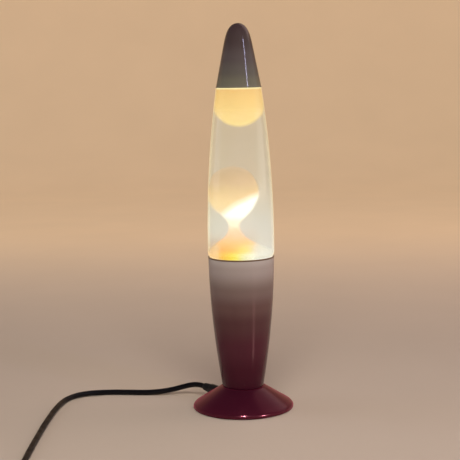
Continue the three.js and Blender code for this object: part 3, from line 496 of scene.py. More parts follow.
def plated_finish(name, colour, roughness=0.24):
    """Plated or bare metal: fine turning marks and a little tarnish."""
    material, tree, shader, place = finish(name, roughness, metallic=1.0)
    tarnish = grain(tree, place, 160, 5)
    duller = [value * 0.6 for value in colour[:3]] + [1]
    feed(shader, "Base Color", ramp(tree, tarnish, [(0.3, duller), (0.65, colour)]))
    dulled = ramp(tree, tarnish, [(0.3, roughness + 0.2), (0.7, roughness)])
    feed(shader, "Roughness", dulled)
    raise_surface(tree, shader, grain(tree, place, 500, 2, (0.4, 0.4, 6)), 0.04, 0.4)
    return material


plug_x, plug_start, plug_height = -37.2, -234, 6.85
plug_length, plug_thickness, relief_length = 36, 13.7, 22
relief_tip, relief_root, relief_ribs, relief_groove = 3.6, 6.2, 6, 0.55
grip_start, plug_round, plug_squaring = 24, 2.2, 2.3
pin_radius, pin_length, pin_spacing, pin_root, pin_nose = 2, 19, 18.6, 5.7, 0.9

plug_plastic = moulded_finish("plug plastic", linear(28, 27, 30), 0.45)


def plug_section(along, width, thickness, squareness):
    """One section of the plug's body: an oval that gets squarer with its squareness."""
    ring = []
    for angle in circle(48):
        cosine, sine = math.cos(angle), math.sin(angle)
        x = math.copysign(abs(cosine) ** (2 / squareness), cosine) * width / 2
        z = math.copysign(abs(sine) ** (2 / squareness), sine) * thickness / 2
        ring.append((plug_x + x, plug_start - along, plug_height + z))
    return ring


plug_rings = [plug_section(0, 2 * relief_tip - 1, 2 * relief_tip - 1, 2)]
for index in range(relief_ribs):
    share = (index + 0.5) / relief_ribs
    radius = relief_tip + (relief_root - relief_tip) * share
    start, pitch = relief_length * index / relief_ribs, relief_length / relief_ribs
    for place, waist in [(0.08, 0), (0.5, 0), (0.58, relief_groove), (0.92, relief_groove)]:
        across = 2 * (radius - waist)
        plug_rings.append(plug_section(start + pitch * place, across, across, 2))
plug_shape = [
    (0, 0.0, 13.0, 12.4), (0.04, 0.12, 16.0, 13.2), (0.1, 0.3, 17.4, plug_thickness),
    (0.3, 0.5, 21.6, plug_thickness), (0.55, 0.7, 27.6, plug_thickness), (0.8, 0.9, 33.2, plug_thickness),
    (0.93, 1, 35.0, plug_thickness), (0.98, 1, 34.4, 13.2), (1, 1, 32.6, 11.6),
]
for share, square, width, thickness in plug_shape:
    squareness = plug_round + plug_squaring * square
    plug_rings.append(plug_section(relief_length + plug_length * share, width, thickness, squareness))
plug_body = skinned("plug", plug_rings, plug_plastic, angle=50)
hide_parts("plug_body")
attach(plug_body, "base")

plug_grip = grown("plug_grip", rib_tree(), plug_plastic, Count=6, Pitch=2.8, Length=11.0, Radius=0.5)
moved(plug_grip, (plug_x, plug_start - relief_length - grip_start, plug_height + plug_thickness / 2))
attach(plug_grip, "base")

pin_metal = plated_finish("plated pin", linear(206, 204, 198))
for side, node in [(-1, "plug_pin_left"), (1, "plug_pin_right")]:
    outline = eased([
        (0, -pin_root), (pin_radius, -pin_root), (pin_radius, pin_length, pin_nose), (0, pin_length),
    ])
    pin = turned(node.replace("plug_", ""), outline, pin_metal, 32)
    pin.data.transform(Matrix.Rotation(math.radians(90), 4, "X"))
    moved(pin, (plug_x + side * pin_spacing / 2, plug_start - relief_length - plug_length, plug_height))
    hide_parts(node)
    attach(pin, "base")


# Foot. A shallow cone spun from sheet steel, with its lower edge turned down into a small lip, and
# sprayed in the same gloss dark red as the body. It holds the gland in its back left flank.
def mixed(tree, share, first, second, way="MIX"):
    """A colour that goes from the first to the second with the share, or is tinted by the second."""
    inputs = {0: share, 6: first, 7: second}
    return add(tree, "ShaderNodeMix", inputs, data_type="RGBA", blend_type=way).outputs[2]


def paint_finish(name, stops, low, high, roughness=0.3, gloss=0.3, shine=(1, 1, 1, 1)):
    """Gloss paint over spun metal: colours by height, which carry painted light and shade, slight orange
    peel, and dust that dulls it.
    The shine is the tint of what the paint reflects, as a tinted lacquer gives it."""
    material, tree, shader, place = finish(name, roughness)
    feed(shader, "Specular IOR Level", gloss)
    feed(shader, "Specular Tint", shine)
    colour = ramp(tree, height_share(tree, place, low, high), stops, "EASE")
    cloud = grain(tree, place, 22, 4)
    clouded = mixed(tree, 1.0, colour, ramp(tree, cloud, [(0.3, 0.94), (0.7, 1.0)]), "MULTIPLY")
    dust = ramp(tree, grain(tree, place, 420, 5), [(0.66, 0.0), (0.82, 0.05)])
    dusty = mixed(tree, dust, clouded, linear(170, 150, 140))
    feed(shader, "Base Color", dusty)
    dulled = ramp(tree, cloud, [(0.3, roughness), (0.8, roughness + 0.1)])
    feed(shader, "Roughness", dulled)
    raise_surface(tree, shader, grain(tree, place, 260, 2), 0.02, 0.3)
    return material


red_shine = (1.0, 0.24, 0.32, 1)
foot_radius, foot_top_radius, foot_lip_bottom, foot_lip_top, foot_top = 46.2, 20, 1.6, 3.2, 19.7
sheet_wall, tube_hole = 1.1, 5.3
# Painted highlight: the paint is lighter and pinker at the lip, where light catches its rounded edge.
foot_paint = paint_finish("foot paint", [
    (0.0, (76, 28, 40)), (0.15, (62, 18, 34)), (0.4, (57, 16, 32)), (1.0, (53, 15, 30)),
], foot_lip_bottom, foot_top, roughness=0.12, gloss=0.22, shine=red_shine)
foot_shader = foot_paint.node_tree.nodes["Principled BSDF"]
for key, value in [("Sheen Weight", 0.7), ("Sheen Roughness", 0.35), ("Sheen Tint", linear(226, 84, 124))]:
    feed(foot_shader, key, value)

foot_outline = eased([
    (foot_radius - sheet_wall, foot_lip_bottom), (foot_radius, foot_lip_bottom, 0.35),
    (foot_radius, foot_lip_top, 2.6), (foot_top_radius, foot_top, 1.0),
    (tube_hole, foot_top), (tube_hole, foot_top - sheet_wall),
    (foot_top_radius - 0.4, foot_top - sheet_wall, 1.0),
    (foot_radius - sheet_wall, foot_lip_top - 0.6, 0.8),
])
foot = turned("foot", foot_outline, foot_paint, 128)
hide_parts("foot_shell")
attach(foot, "base")


# Underside of the foot. A moulded black cover, with the cord clamp on it, snaps inside the lip, and
# a disc of matt foam under it keeps the lamp from sliding. Clamp and screws keep their plain shapes.
def foam_finish():
    """Matt foam with open cells."""
    material, tree, shader, place = finish("foam", 0.95)
    cells = add(tree, "ShaderNodeTexVoronoi", {"Vector": place, "Scale": 1100.0}).outputs["Distance"]
    colour = ramp(tree, cells, [(0.0, (20, 20, 26)), (0.6, (38, 38, 46))])
    feed(shader, "Base Color", colour)
    raise_surface(tree, shader, cells, 0.3, 0.8)
    return material


def dress(looks, *nodes):
    """Give the frame's own nodes a material, and leave their shapes as they are."""
    for node in nodes:
        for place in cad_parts[node].material_slots:
            place.material = looks


pad_radius, pad_top = 44.8, 1.6
pad_outline = eased([(0, 0), (pad_radius, 0, 0.5), (pad_radius, pad_top, 0.3), (0, pad_top)])
pad = turned("pad", pad_outline, foam_finish(), 128)
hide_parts("foot_pad")
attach(pad, "base")

cover_plastic = moulded_finish("cover plastic", linear(34, 33, 36), 0.5)
screw_metal = plated_finish("zinc plate", linear(176, 178, 182), 0.3)
dress(cover_plastic, "bottom_cover", "cord_clamp")
dress(screw_metal, "clamp_screw_left", "clamp_screw_right", "switch_screw_near", "switch_screw_far")
dress(sheath, "cord_inner")


# Cord gland. A tapered sleeve of soft black plastic, moulded round the cord and pushed through the
# foot's flank, with a head outside and ribs that let it bend with the cord.
gland_plastic = moulded_finish("gland plastic", linear(30, 29, 33), 0.5)
gland_bore, gland_root, gland_tip = 2.8, 4.4, 3.5
gland_inside, gland_outside, gland_ribs, gland_groove = 3.5, 17, 4, 0.5
gland_collar, gland_collar_start, gland_collar_end = 4.9, 1.1, 8.5
gland_ribs_start, gland_nose = gland_collar_end + 0.4, 1.0

gland_outline = eased([
    (gland_bore, -gland_inside), (gland_root, -gland_inside), (gland_root, gland_collar_start),
    (gland_collar, gland_collar_start, 0.4), (gland_collar, gland_collar_end, 0.6),
    (gland_root - gland_groove, gland_ribs_start),
])
for index in range(gland_ribs):
    pitch = (gland_outside - gland_nose - gland_ribs_start) / gland_ribs
    start = gland_ribs_start + pitch * index
    radius = gland_root + (gland_tip - gland_root) * (index + 0.5) / gland_ribs
    for place, groove in [(0, 0), (0.55, 0), (0.62, gland_groove), (0.93, gland_groove)]:
        gland_outline.append((radius - groove, start + place * pitch))
gland_outline += [
    (gland_tip, gland_outside - gland_nose), (gland_tip - 0.3, gland_outside), (gland_bore, gland_outside),
]
gland = turned("gland", gland_outline, gland_plastic, 40, angle=50)
gland.data.transform(Vector((0, 0, 1)).rotation_difference(gland_way).to_matrix().to_4x4())
moved(gland, gland_seat)
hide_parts("cord_gland")
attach(gland, "base")


# Base body. One piece of aluminium spun into a tall cup that opens out from a narrow waist, fast at
# first and then slower, to a rim with a small rolled hem. It is sprayed gloss dark red. The light that
# the pale bottle throws on the paint near the rim, and what the paint reflects there, is painted into
# its colour, which pales to a mauve-grey towards the rim. The bottle's plug drops into it.
def round_z(tree, radius, angle, height):
    """The place at a radius, an angle round Z and a height."""
    x = worked(tree, "MULTIPLY", radius, worked(tree, "COSINE", angle))
    y = worked(tree, "MULTIPLY", radius, worked(tree, "SINE", angle))
    return joined_axes(tree, X=x, Y=y, Z=height)


def in_metres(tree, given, *sizes):
    """Some of a tree's inputs, which are in millimetres, as the metres that its nodes work in."""
    return {size: worked(tree, "DIVIDE", given[size], 1000) for size in sizes}


def spun_body_tree():
    """A cup of sheet with a holed floor: one grid that is wrapped round Z."""
    tree, given = new_tree("spun body", Bottom=20.0, Height=121.0, Hole=5.3, Waist=18.4, Spread=11.5,
                           Flare=1.85, Around=144, Up=64)
    size = in_metres(tree, given, "Bottom", "Height", "Hole", "Waist", "Spread")
    grid = add(tree, "GeometryNodeMeshGrid", {
        "Size X": 1.0, "Size Y": 1.0, "Vertices X": given["Around"], "Vertices Y": given["Up"],
    }).outputs["Mesh"]
    flat = axes_of(tree, add(tree, "GeometryNodeInputPosition").outputs[0])
    angle = worked(tree, "MULTIPLY", worked(tree, "ADD", flat["X"], 0.5), 2 * math.pi)
    along = worked(tree, "ADD", flat["Y"], 0.5)
    floor_share = 0.08
    on_floor = worked(tree, "MINIMUM", worked(tree, "DIVIDE", along, floor_share), 1.0)
    past_floor = worked(tree, "MAXIMUM", worked(tree, "SUBTRACT", along, floor_share), 0.0)
    on_wall = worked(tree, "DIVIDE", past_floor, 1 - floor_share)
    still_closed = worked(tree, "POWER", worked(tree, "SUBTRACT", 1.0, on_wall), given["Flare"])
    opened = worked(tree, "SUBTRACT", 1.0, still_closed)
    floor_reach = worked(tree, "MULTIPLY", on_floor, worked(tree, "SUBTRACT", size["Waist"], size["Hole"]))
    floor_radius = worked(tree, "ADD", size["Hole"], floor_reach)
    radius = worked(tree, "ADD", floor_radius, worked(tree, "MULTIPLY", opened, size["Spread"]))
    rise = worked(tree, "MULTIPLY_ADD", on_wall, size["Height"], size["Bottom"])
    place = round_z(tree, radius, angle, rise)
    wrapped = add(tree, "GeometryNodeSetPosition", {"Geometry": grid, "Position": place}).outputs[0]
    joined = add(tree, "GeometryNodeMergeByDistance", {"Geometry": wrapped, "Distance": 1e-6}).outputs[0]
    close_tree(tree, joined, given)
    return tree


body_bottom, body_height, body_waist, body_spread, body_flare = 20.0, 121.0, 18.8, 11.1, 1.85
rim_height = body_bottom + body_height
# Painted light and reflection: the colour rises from dark red at the waist to pale mauve-grey at the rim.
body_paint = paint_finish("body paint", [
    (0.0, (60, 12, 33)), (0.12, (65, 17, 35)), (0.33, (78, 36, 48)), (0.51, (84, 55, 57)),
    (0.63, (100, 76, 74)), (0.755, (122, 105, 101)), (0.92, (166, 156, 152)), (1.0, (184, 176, 173)),
], body_bottom, rim_height, roughness=0.14, shine=(1.0, 0.62, 0.64, 1))

body = grown("body", spun_body_tree(), body_paint, Bottom=body_bottom, Height=body_height,
             Hole=tube_hole, Waist=body_waist, Spread=body_spread, Flare=body_flare, Around=145, Up=64)
wall = body.modifiers.new("sheet", "SOLIDIFY")
wall.thickness = sheet_wall / 1000
wall.offset = -1
edge = body.modifiers.new("edge", "BEVEL")
edge.width = 0.0004
edge.segments = 3
edge.limit_method = "ANGLE"
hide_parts("base_body")
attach(body, "base")


def bead_outline(radius, height, thickness, steps):
    """The round section of a rolled hem."""
    return [(radius + thickness * math.cos(a), height + thickness * math.sin(a)) for a in circle(steps)]


hem_thickness, hem_tuck = 0.75, 0.45
# Painted shade: the hem is a darker olive-brown than the pale rim, for the thin shadow line between the rim
# and the bottle.
hem_paint = paint_finish("hem paint", [
    (0.0, (128, 104, 88)), (1.0, (104, 84, 62)),
], rim_height - 2, rim_height + 0.2)
hem_outline = bead_outline(body_waist + body_spread - hem_tuck, rim_height - hem_thickness, hem_thickness, 16)
hem = turned("hem", hem_outline, hem_paint, 144)
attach(hem, "base")


# Stack in the middle of the base. A steel tube with a fine thread clamps foot and body between two
# washers and two nuts, and carries the lampholder. All of it is zinc plated.
dress(screw_metal, "centre_tube", "lower_washer", "upper_washer", "lower_nut", "upper_nut")


# Lampholder. Three turnings of heat-proof off-white plastic, with a brass thread shell, a springy
# centre contact and two brass terminals that take the brown and the blue core of the cord.
def holder_finish():
    """Heat-proof plastic with faint flow marks along the mould."""
    material, tree, shader, place = finish("holder plastic", 0.45)
    flow = grain(tree, place, 60, 4, (1, 1, 3))
    colour = ramp(tree, flow, [(0.3, (206, 199, 182)), (0.7, (226, 221, 208))])
    feed(shader, "Base Color", colour)
    raise_surface(tree, shader, grain(tree, place, 1500, 2), 0.04, 0.4)
    return material


brass = plated_finish("brass", linear(196, 164, 96), 0.28)
dress(holder_finish(), "holder_base", "holder_core", "holder_sleeve")
dress(brass, "live_terminal", "neutral_terminal", "holder_thread_shell", "holder_contact",
      "switch_contact_in", "switch_contact_out")
dress(moulded_finish("brown core", linear(98, 60, 38)), "live_core")
dress(moulded_finish("blue core", linear(44, 84, 148)), "neutral_core")


# Bulb. A small reflector bulb: blown glass that is silvered inside up to its widest part and frosted
# on its face, cemented in a rolled screw shell of tinned sheet, with a stem, a filament and a contact.
def bulb_finish():
    """Silvered glass up to the widest part, and frosted glass with the lit filament behind it."""
    material, tree, shader, place = finish("silvered glass", 0.18, metallic=1.0)
    share = height_share(tree, place, bulb_low, bulb_low + bulb_height)
    silver, frost = 0.70, 0.74
    face = ramp(tree, share, [(silver, 0.0), (frost, 1.0)])
    colour = ramp(tree, share, [(0.0, (196, 192, 184)), (silver, (214, 210, 202)), (frost, (255, 240, 214))])
    feed(shader, "Base Color", colour)
    feed(shader, "Metallic", ramp(tree, share, [(silver, 1.0), (frost, 0.0)]))
    feed(shader, "Roughness", ramp(tree, share, [(silver, 0.16), (frost, 0.55)]))
    feed(shader, "Emission Color", linear(255, 214, 150))
    feed(shader, "Emission Strength", worked(tree, "MULTIPLY", face, 0.55))
    raise_surface(tree, shader, grain(tree, place, 700, 2), 0.03, 0.3)
    return material


def piped_along(tree, path, radius, capped=False):
    """A round bar along a path."""
    section = add(tree, "GeometryNodeCurvePrimitiveCircle", {"Resolution": 8, "Radius": radius}).outputs[0]
    parts = {"Curve": path, "Profile Curve": section, "Fill Caps": capped}
    return add(tree, "GeometryNodeCurveToMesh", parts).outputs[0]


def thread_tree():
    """A round ridge that climbs round Z, for the rolled thread of a thin screw shell."""
    tree, given = new_tree("rolled thread", Turns=5.0, Pitch=2.82, Radius=6.7, Ridge=0.55, Bottom=47.0)
    size = in_metres(tree, given, "Pitch", "Radius", "Ridge", "Bottom")
    helix = add(tree, "GeometryNodeCurveSpiral", {
        "Resolution": 40, "Rotations": given["Turns"], "Start Radius": size["Radius"],
        "End Radius": size["Radius"], "Height": worked(tree, "MULTIPLY", size["Pitch"], given["Turns"]),
    }).outputs[0]
    lift = joined_axes(tree, Z=size["Bottom"])
    lifted = add(tree, "GeometryNodeSetPosition", {"Geometry": helix, "Offset": lift}).outputs[0]
    close_tree(tree, piped_along(tree, lifted, size["Ridge"], True), given)
    return tree


tinned = plated_finish("tinned sheet", linear(192, 190, 182), 0.22)
bulb_neck, bulb_neck_low, bulb_radius, bulb_low, bulb_height = 5.35, 63.9, 19.5, 63.7, 41.0
bulb_shares = [
    (0.36, 0.08), (0.55, 0.24), (0.78, 0.42), (0.95, 0.6), (1, 0.72),
    (0.97, 0.8), (0.85, 0.885), (0.62, 0.955), (0.33, 0.99), (0, 1),
]


def flowing(places, steps=6):
    """A smooth line through places that never swings far from them."""
    ends = [2 * places[0] - places[1], *places, 2 * places[-1] - places[-2]]
    line = []
    for four in zip(ends, ends[1:], ends[2:], ends[3:]):
        knots = [0.0]
        for low, high in zip(four, four[1:]):
            knots.append(knots[-1] + math.sqrt((high - low).length))
        for step in range(steps):
            at = knots[1] + (knots[2] - knots[1]) * step / steps
            row = [low.lerp(high, (at - knots[i]) / (knots[i + 1] - knots[i]))
                   for i, (low, high) in enumerate(zip(four, four[1:]))]
            row = [low.lerp(high, (at - knots[i]) / (knots[i + 2] - knots[i]))
                   for i, (low, high) in enumerate(zip(row, row[1:]))]
            line.append(row[0].lerp(row[1], (at - knots[1]) / (knots[2] - knots[1])))
    return [*line, places[-1]]


bulb_line = flowing([Vector((r * bulb_radius, bulb_low + h * bulb_height)) for r, h in bulb_shares], 5)
bulb_outline = [(0, bulb_neck_low), (bulb_neck, bulb_neck_low), *[tuple(place) for place in bulb_line]]
bulb_outline[-1] = (0, bulb_outline[-1][1])
bulb = turned("bulb", bulb_outline, bulb_finish(), 72)
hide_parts("bulb_glass")
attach(bulb, "bulb")

thread = grown("bulb_thread", thread_tree(), tinned)
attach(thread, "bulb")
dress(tinned, "bulb_screw_shell", "bulb_contact")
dress(moulded_finish("bulb insulator", linear(26, 25, 28), 0.2), "bulb_insulator")
dress(moulded_finish("stem glass", linear(196, 204, 200), 0.15), "bulb_stem")
dress(plated_finish("tungsten wire", linear(96, 94, 92), 0.4), "bulb_filament")


# Bottle. One piece of clear glass, blown in a mould: a plug with a rounded heel that sits in the
# base, a ledge that rests on its rim, a long taper, and a narrow neck with a bead for the crown cap.
def glass_finish():
    """Clear glass that lets light cast through it, with a painted glow in its wall and at its rims for the
    light that is piped in the glass.
    """
    material, tree, shader, place = finish("clear glass", 0.02)
    feed(shader, "Base Color", (0.99, 0.985, 0.96, 1))
    feed(shader, "IOR", 1.47)
    feed(shader, "Transmission Weight", 1.0)
    raise_surface(tree, shader, grain(tree, place, 26, 1, (1, 1, 0.4)), 0.12, 0.25)
    clear = add(tree, "ShaderNodeBsdfTransparent", {"Color": (0.97, 0.96, 0.92, 1)}).outputs[0]
    in_shadow = add(tree, "ShaderNodeLightPath").outputs["Is Shadow Ray"]
    surface = add(tree, "ShaderNodeMixShader", {0: in_shadow, 1: shader.outputs[0], 2: clear}).outputs[0]
    feed(tree.nodes["Material Output"], "Surface", surface)
    # Painted light: the wall glows as if lit by light piped in the glass.
    piped = add(tree, "ShaderNodeEmission", {"Color": linear(255, 232, 176), "Strength": 5.0}).outputs[0]
    feed(tree.nodes["Material Output"], "Volume", piped)
    # Painted light: the glass glows more towards its outlines, as bright edge lines.
    edge = add(tree, "ShaderNodeLayerWeight", {"Blend": 0.5}).outputs["Facing"]
    feed(shader, "Emission Color", linear(252, 232, 172))
    rim_light = ramp(tree, edge, [(0.55, 0.0), (0.74, 0.07), (0.88, 0.33), (1.0, 0.9)])
    feed(shader, "Emission Strength", rim_light)
    return material


glass_floor, heel_radius, heel_base, plug_radius = 121, 5, 27.3, 28.5
ledge_height, ledge_round, belly_radius, belly_height, belly_curve = 141.3, 4, 30.2, 150, 2.1
neck_root_height, neck_root_radius, shoulder_radius, neck_radius, neck_rise = 292.7, 20.3, 19.4, 12.2, 8.5
neck_shares = [(1, 0), (0.74, 0.3), (0.32, 0.6), (0.04, 0.88), (0, 1)]
bead_low, bead_high, bead_radius, lip_top, glass_wall = 303.7, 306.7, 13.3, 308.9, 2.2
liquid_bottom, liquid_top = 123.5, 297.0
# Glass that a liquid wets shows no inner wall, so the visible wall ends close behind the outer face.
inner_face = 1.1


def belly_at(height):
    """The bottle's outer radius from its ledge up to the root of its neck."""
    if height <= belly_height:
        return belly_radius
    share = (height - belly_height) / (neck_root_height - belly_height)
    return belly_radius - (belly_radius - neck_root_radius) * share ** belly_curve


def side_at(height):
    """The bottle's outer radius from its plug, over the round of its ledge, up to the root of its neck."""
    if height > ledge_height + ledge_round:
        return belly_at(height)
    climbed = min(1.0, max(0.0, (height - ledge_height) / ledge_round))
    return plug_radius + (belly_radius - plug_radius) * math.sqrt(1 - (1 - climbed) ** 2)


def neck_line(inset):
    """The shoulder and the neck's side, moved in by a distance."""
    start, reach = neck_radius - inset, shoulder_radius - neck_radius
    places = [Vector((start + reach * r, neck_root_height + neck_rise * h)) for r, h in neck_shares]
    return [tuple(place) for place in flowing(places, 5)]


def up_belly(start, steps):
    """Heights from a start on the belly up to the root of the neck."""
    return [start + (neck_root_height - start) * step / steps for step in range(steps + 1)]


def bore_line(inset):
    """The inside of the plug and the belly, moved in by a distance from the glass's outer face."""
    radius, height = heel_base - heel_radius, glass_floor + inset
    reach = heel_radius - inset / 2
    line = [(radius + reach * out, height + reach * up) for out, up in quarter_round(8)]
    line.append((plug_radius - inset, ledge_height - 2))
    return line + [(belly_at(h) - inset, h) for h in up_belly(ledge_height + ledge_round, 48)]


glass_outline = [(0, glass_floor)]
for out, up in quarter_round(8):
    glass_outline.append((heel_base - heel_radius * (1 - out), glass_floor + heel_radius * up))
glass_outline += [(plug_radius - 0.2, ledge_height - 1.5), (plug_radius, ledge_height)]
for out, up in quarter_round(7)[1:]:
    glass_outline.append((plug_radius + (belly_radius - plug_radius) * out, ledge_height + ledge_round * up))
glass_outline += [(belly_at(h), h) for h in up_belly(belly_height, 56)[1:]]
glass_outline += neck_line(0)
glass_outline += eased([
    (neck_radius, bead_low), (bead_radius, bead_low + 0.4, 0.5), (bead_radius, bead_high - 0.4, 0.5),
    (neck_radius, bead_high, 0.3), (neck_radius, lip_top, 0.7), (neck_radius - glass_wall, lip_top, 0.7),
    (neck_radius - glass_wall, lip_top - 3),
])
glass_outline += neck_line(inner_face)[::-1]
glass_outline += bore_line(inner_face)[::-1]
glass_outline.append((0, glass_floor + inner_face))
bottle = turned("bottle", glass_outline, glass_finish(), 144)
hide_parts("bottle_glass")
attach(bottle, "bottle")


# Wax. A soft paraffin blend that is warmed and lit from below: a mound that rests on the bottle's
# floor, a thin neck and the big round blob that it feeds, and a second lump under the bottle's neck.
wetting, squeeze, wax_gap, haze_reach = 0.5, 1.5, 0.3, 0.1
wax_lift, wax_top_gap, wax_tip = 0.3, 0.4, 0.01


def wax_shape(name, rows, looks, grounded, swell=0.0):
    """Lumps of wax from rows of height, radius and offset to one side, as shares of the bottle's bore.
    The swell moves the whole skin out by a distance. Where it nears the glass it is pressed flat."""
    bore = belly_radius - glass_wall
    depth = liquid_top - liquid_bottom
    bare = flowing([Vector((r * bore, liquid_bottom + h * depth, x * bore)) for h, r, x in rows], 8)
    line = []
    for before, here, after in zip(bare[:1] + bare, bare, bare[1:] + bare[-1:]):
        way = Vector((after.y - before.y, before.x - after.x)).normalized() * swell
        line.append(Vector((here.x + way.x if here.x > wax_tip else 0.0, here.y + way.y, here.z)))
    if grounded:
        line.insert(0, Vector((line[0].x, liquid_bottom + wax_lift, line[0].z)))
    rings = []
    for radius, height, offset in line:
        if height > liquid_top - wax_top_gap:
            break
        if radius < wax_tip:
            rings.append([(offset, 0, height)])
            continue
        room = side_at(height) - wetting - wax_gap + haze_reach * swell
        if height < glass_floor + heel_radius + glass_wall:
            lift = (height - glass_floor) / heel_radius
            room -= (1 - math.sqrt(max(0.0, 1 - (1 - min(1.0, lift)) ** 2))) * heel_radius
        ring = []
        for angle in circle(96):
            place = Vector((offset + radius * math.cos(angle), radius * math.sin(angle)))
            over = place.length - (room - squeeze)
            if over > 0:
                place *= (room - squeeze * math.exp(-over / squeeze)) / place.length
            ring.append((place.x, place.y, height))
        rings.append(ring)
    return skinned(name, rings, looks, angle=60)


def glow(tree, shader, colour, strength):
    """Painted light: a glow of its own that stands in for the bulb's light shining through wax and liquid,
    over a base colour darkened to a third.
    """
    unlit = shown(0.3)
    feed(shader, "Base Color", mixed(tree, 1.0, colour, unlit, "MULTIPLY"))
    feed(shader, "Emission Color", colour)
    feed(shader, "Emission Strength", strength)


def painted_highlight_share(tree, place, axes):
    """How far a point lies in the painted highlight, the whitest lit part of the wax: under a ragged crest
    that rises to the right, to the right of the blob's slanting left side, and above the neck. Heights
    and depths are in millimetres."""
    crest_slope, crest_height, crest_rag, crest_soft = 0.27, 194.2, 5.0, 9.0
    side_height, side_slope = 197.4, 0.7
    neck_height, neck_slope, neck_soft = 171.0, 0.5, 3.0
    share_slope, share_at_edge = 0.13, 0.44
    x = worked(tree, "MULTIPLY", axes["X"], 1000.0)
    z = worked(tree, "MULTIPLY", axes["Z"], 1000.0)
    ragged = worked(tree, "MULTIPLY", worked(tree, "SUBTRACT", grain(tree, place, 60, 2), 0.5), crest_rag)
    crest = worked(tree, "ADD", worked(tree, "MULTIPLY_ADD", x, crest_slope, crest_height), ragged)
    below_crest = worked(tree, "SUBTRACT", crest, z)
    past_side = worked(tree, "SUBTRACT", x, worked(tree, "SUBTRACT", z, side_height))
    above_neck = worked(tree, "MULTIPLY", worked(tree, "SUBTRACT", z, neck_height), neck_slope)
    inside_side = worked(tree, "MULTIPLY", past_side, side_slope)
    depth = worked(tree, "SMOOTH_MIN", below_crest, inside_side, crest_soft)
    depth = worked(tree, "SMOOTH_MIN", depth, above_neck, neck_soft)
    return worked(tree, "MULTIPLY_ADD", depth, share_slope, share_at_edge)


def column_finish():
    """Wax of the column, all its colour painted light: amber in the mound's left, yellow at its foot, and a
    painted white highlight under the blob.
    """
    material, tree, shader, place = finish("lit wax", 0.5)
    feed(shader, "Specular IOR Level", 0.2)
    axes = axes_of(tree, place)
    blob_top, foot_heights, mound_heights, mound_side = 223, (144, 150), (149, 156), 0.026
    plain_glow, foot_glow, painted_highlight_glow = 0.9, 0.1, 0.4
    # Painted light: the wax's colours by height and across, and their glow, stand for the bulb's light
    # through it.
    upper = ramp(tree, height_share(tree, place, liquid_bottom, blob_top), [
        (0.3, (255, 182, 76)), (0.37, (250, 182, 100)), (0.41, (246, 196, 130)),
        (0.46, (252, 224, 168)), (0.57, (250, 216, 150)), (0.68, (250, 211, 130)),
        (0.75, (237, 194, 119)), (0.8, (223, 183, 114)), (0.86, (207, 166, 112)),
        (0.92, (195, 158, 109)), (1.0, (190, 159, 122)),
    ])
    across = spanned(tree, axes["X"], -mound_side, mound_side)
    slope = ramp(tree, across, [
        (0.08, (228, 190, 132)), (0.17, (236, 172, 76)), (0.34, (236, 178, 73)),
        (0.42, (234, 190, 84)), (0.51, (230, 206, 88)), (0.59, (228, 210, 112)),
        (0.68, (223, 208, 150)), (0.76, (223, 205, 174)), (0.85, (217, 207, 180)),
    ])
    foot_band = ramp(tree, across, [
        (0.08, (236, 196, 136)), (0.17, (230, 184, 78)), (0.25, (228, 191, 72)),
        (0.34, (228, 208, 72)), (0.42, (228, 216, 104)), (0.51, (220, 216, 156)),
        (0.6, (223, 219, 184)), (0.68, (223, 222, 195)), (0.8, (215, 209, 190)),
    ])
    below = [(0.1, 1.0), (0.9, 0.0)]
    at_foot = ramp(tree, height_share(tree, place, *foot_heights), below, "EASE")
    in_mound = ramp(tree, height_share(tree, place, *mound_heights), below, "EASE")
    plain = mixed(tree, in_mound, upper, mixed(tree, at_foot, slope, foot_band))
    # Painted highlight: the whitest lit patch under the blob, which glows more.
    painted_highlight = ramp(tree, painted_highlight_share(tree, place, axes), [(0.0, 0.0), (0.45, 0.4), (1.0, 1.0)], "EASE")
    strength = worked(tree, "MULTIPLY_ADD", painted_highlight, painted_highlight_glow, plain_glow)
    strength = worked(tree, "MULTIPLY_ADD", at_foot, foot_glow, strength)
    glow(tree, shader, mixed(tree, painted_highlight, plain, linear(255, 252, 236)), strength)
    return material


def float_finish():
    """Wax of the upper lump, all its colour painted light: brightest on its underside, which the light from
    below reaches first, and a pale cream band at its top under the cap's edge.
    """
    material, tree, shader, place = finish("upper wax", 0.5)
    feed(shader, "Specular IOR Level", 0.2)
    float_low = 259
    colour = ramp(tree, height_share(tree, place, float_low, liquid_top), [
        (0.0, (255, 226, 138)), (0.25, (251, 216, 126)), (0.5, (240, 200, 108)),
        (0.75, (233, 189, 94)), (0.85, (230, 182, 86)), (0.875, (255, 240, 176)),
    ])
    cloud = ramp(tree, grain(tree, place, 60, 3), [(0.3, 0.94), (0.7, 1.0)])
    glow(tree, shader, mixed(tree, 1.0, colour, cloud, "MULTIPLY"), 0.95)
    return material


column_rows = [
    (0.076, 1.15, 0), (0.112, 1.08, -0.02), (0.135, 0.88, -0.09), (0.161, 0.6, -0.17),
    (0.192, 0.32, -0.19), (0.232, 0.16, -0.2), (0.275, 0.145, -0.215), (0.32, 0.37, -0.195),
    (0.364, 0.63, -0.238), (0.424, 0.8, -0.25), (0.462, 0.8, -0.243), (0.525, 0.64, -0.243),
    (0.558, 0.36, -0.243), (0.5717, 0, -0.243),
]
float_rows = [
    (0.784, 0, 0.0), (0.789, 0.21, 0.0), (0.804, 0.43, 0.0), (0.828, 0.62, 0.0), (0.855, 0.74, 0.0),
    (0.885, 0.8, 0.0), (0.92, 0.82, 0.0), (1.1, 0.9, 0),
]
column = wax_shape("wax_mass", column_rows, column_finish(), True)
upper_lump = wax_shape("wax_upper", float_rows, float_finish(), False)

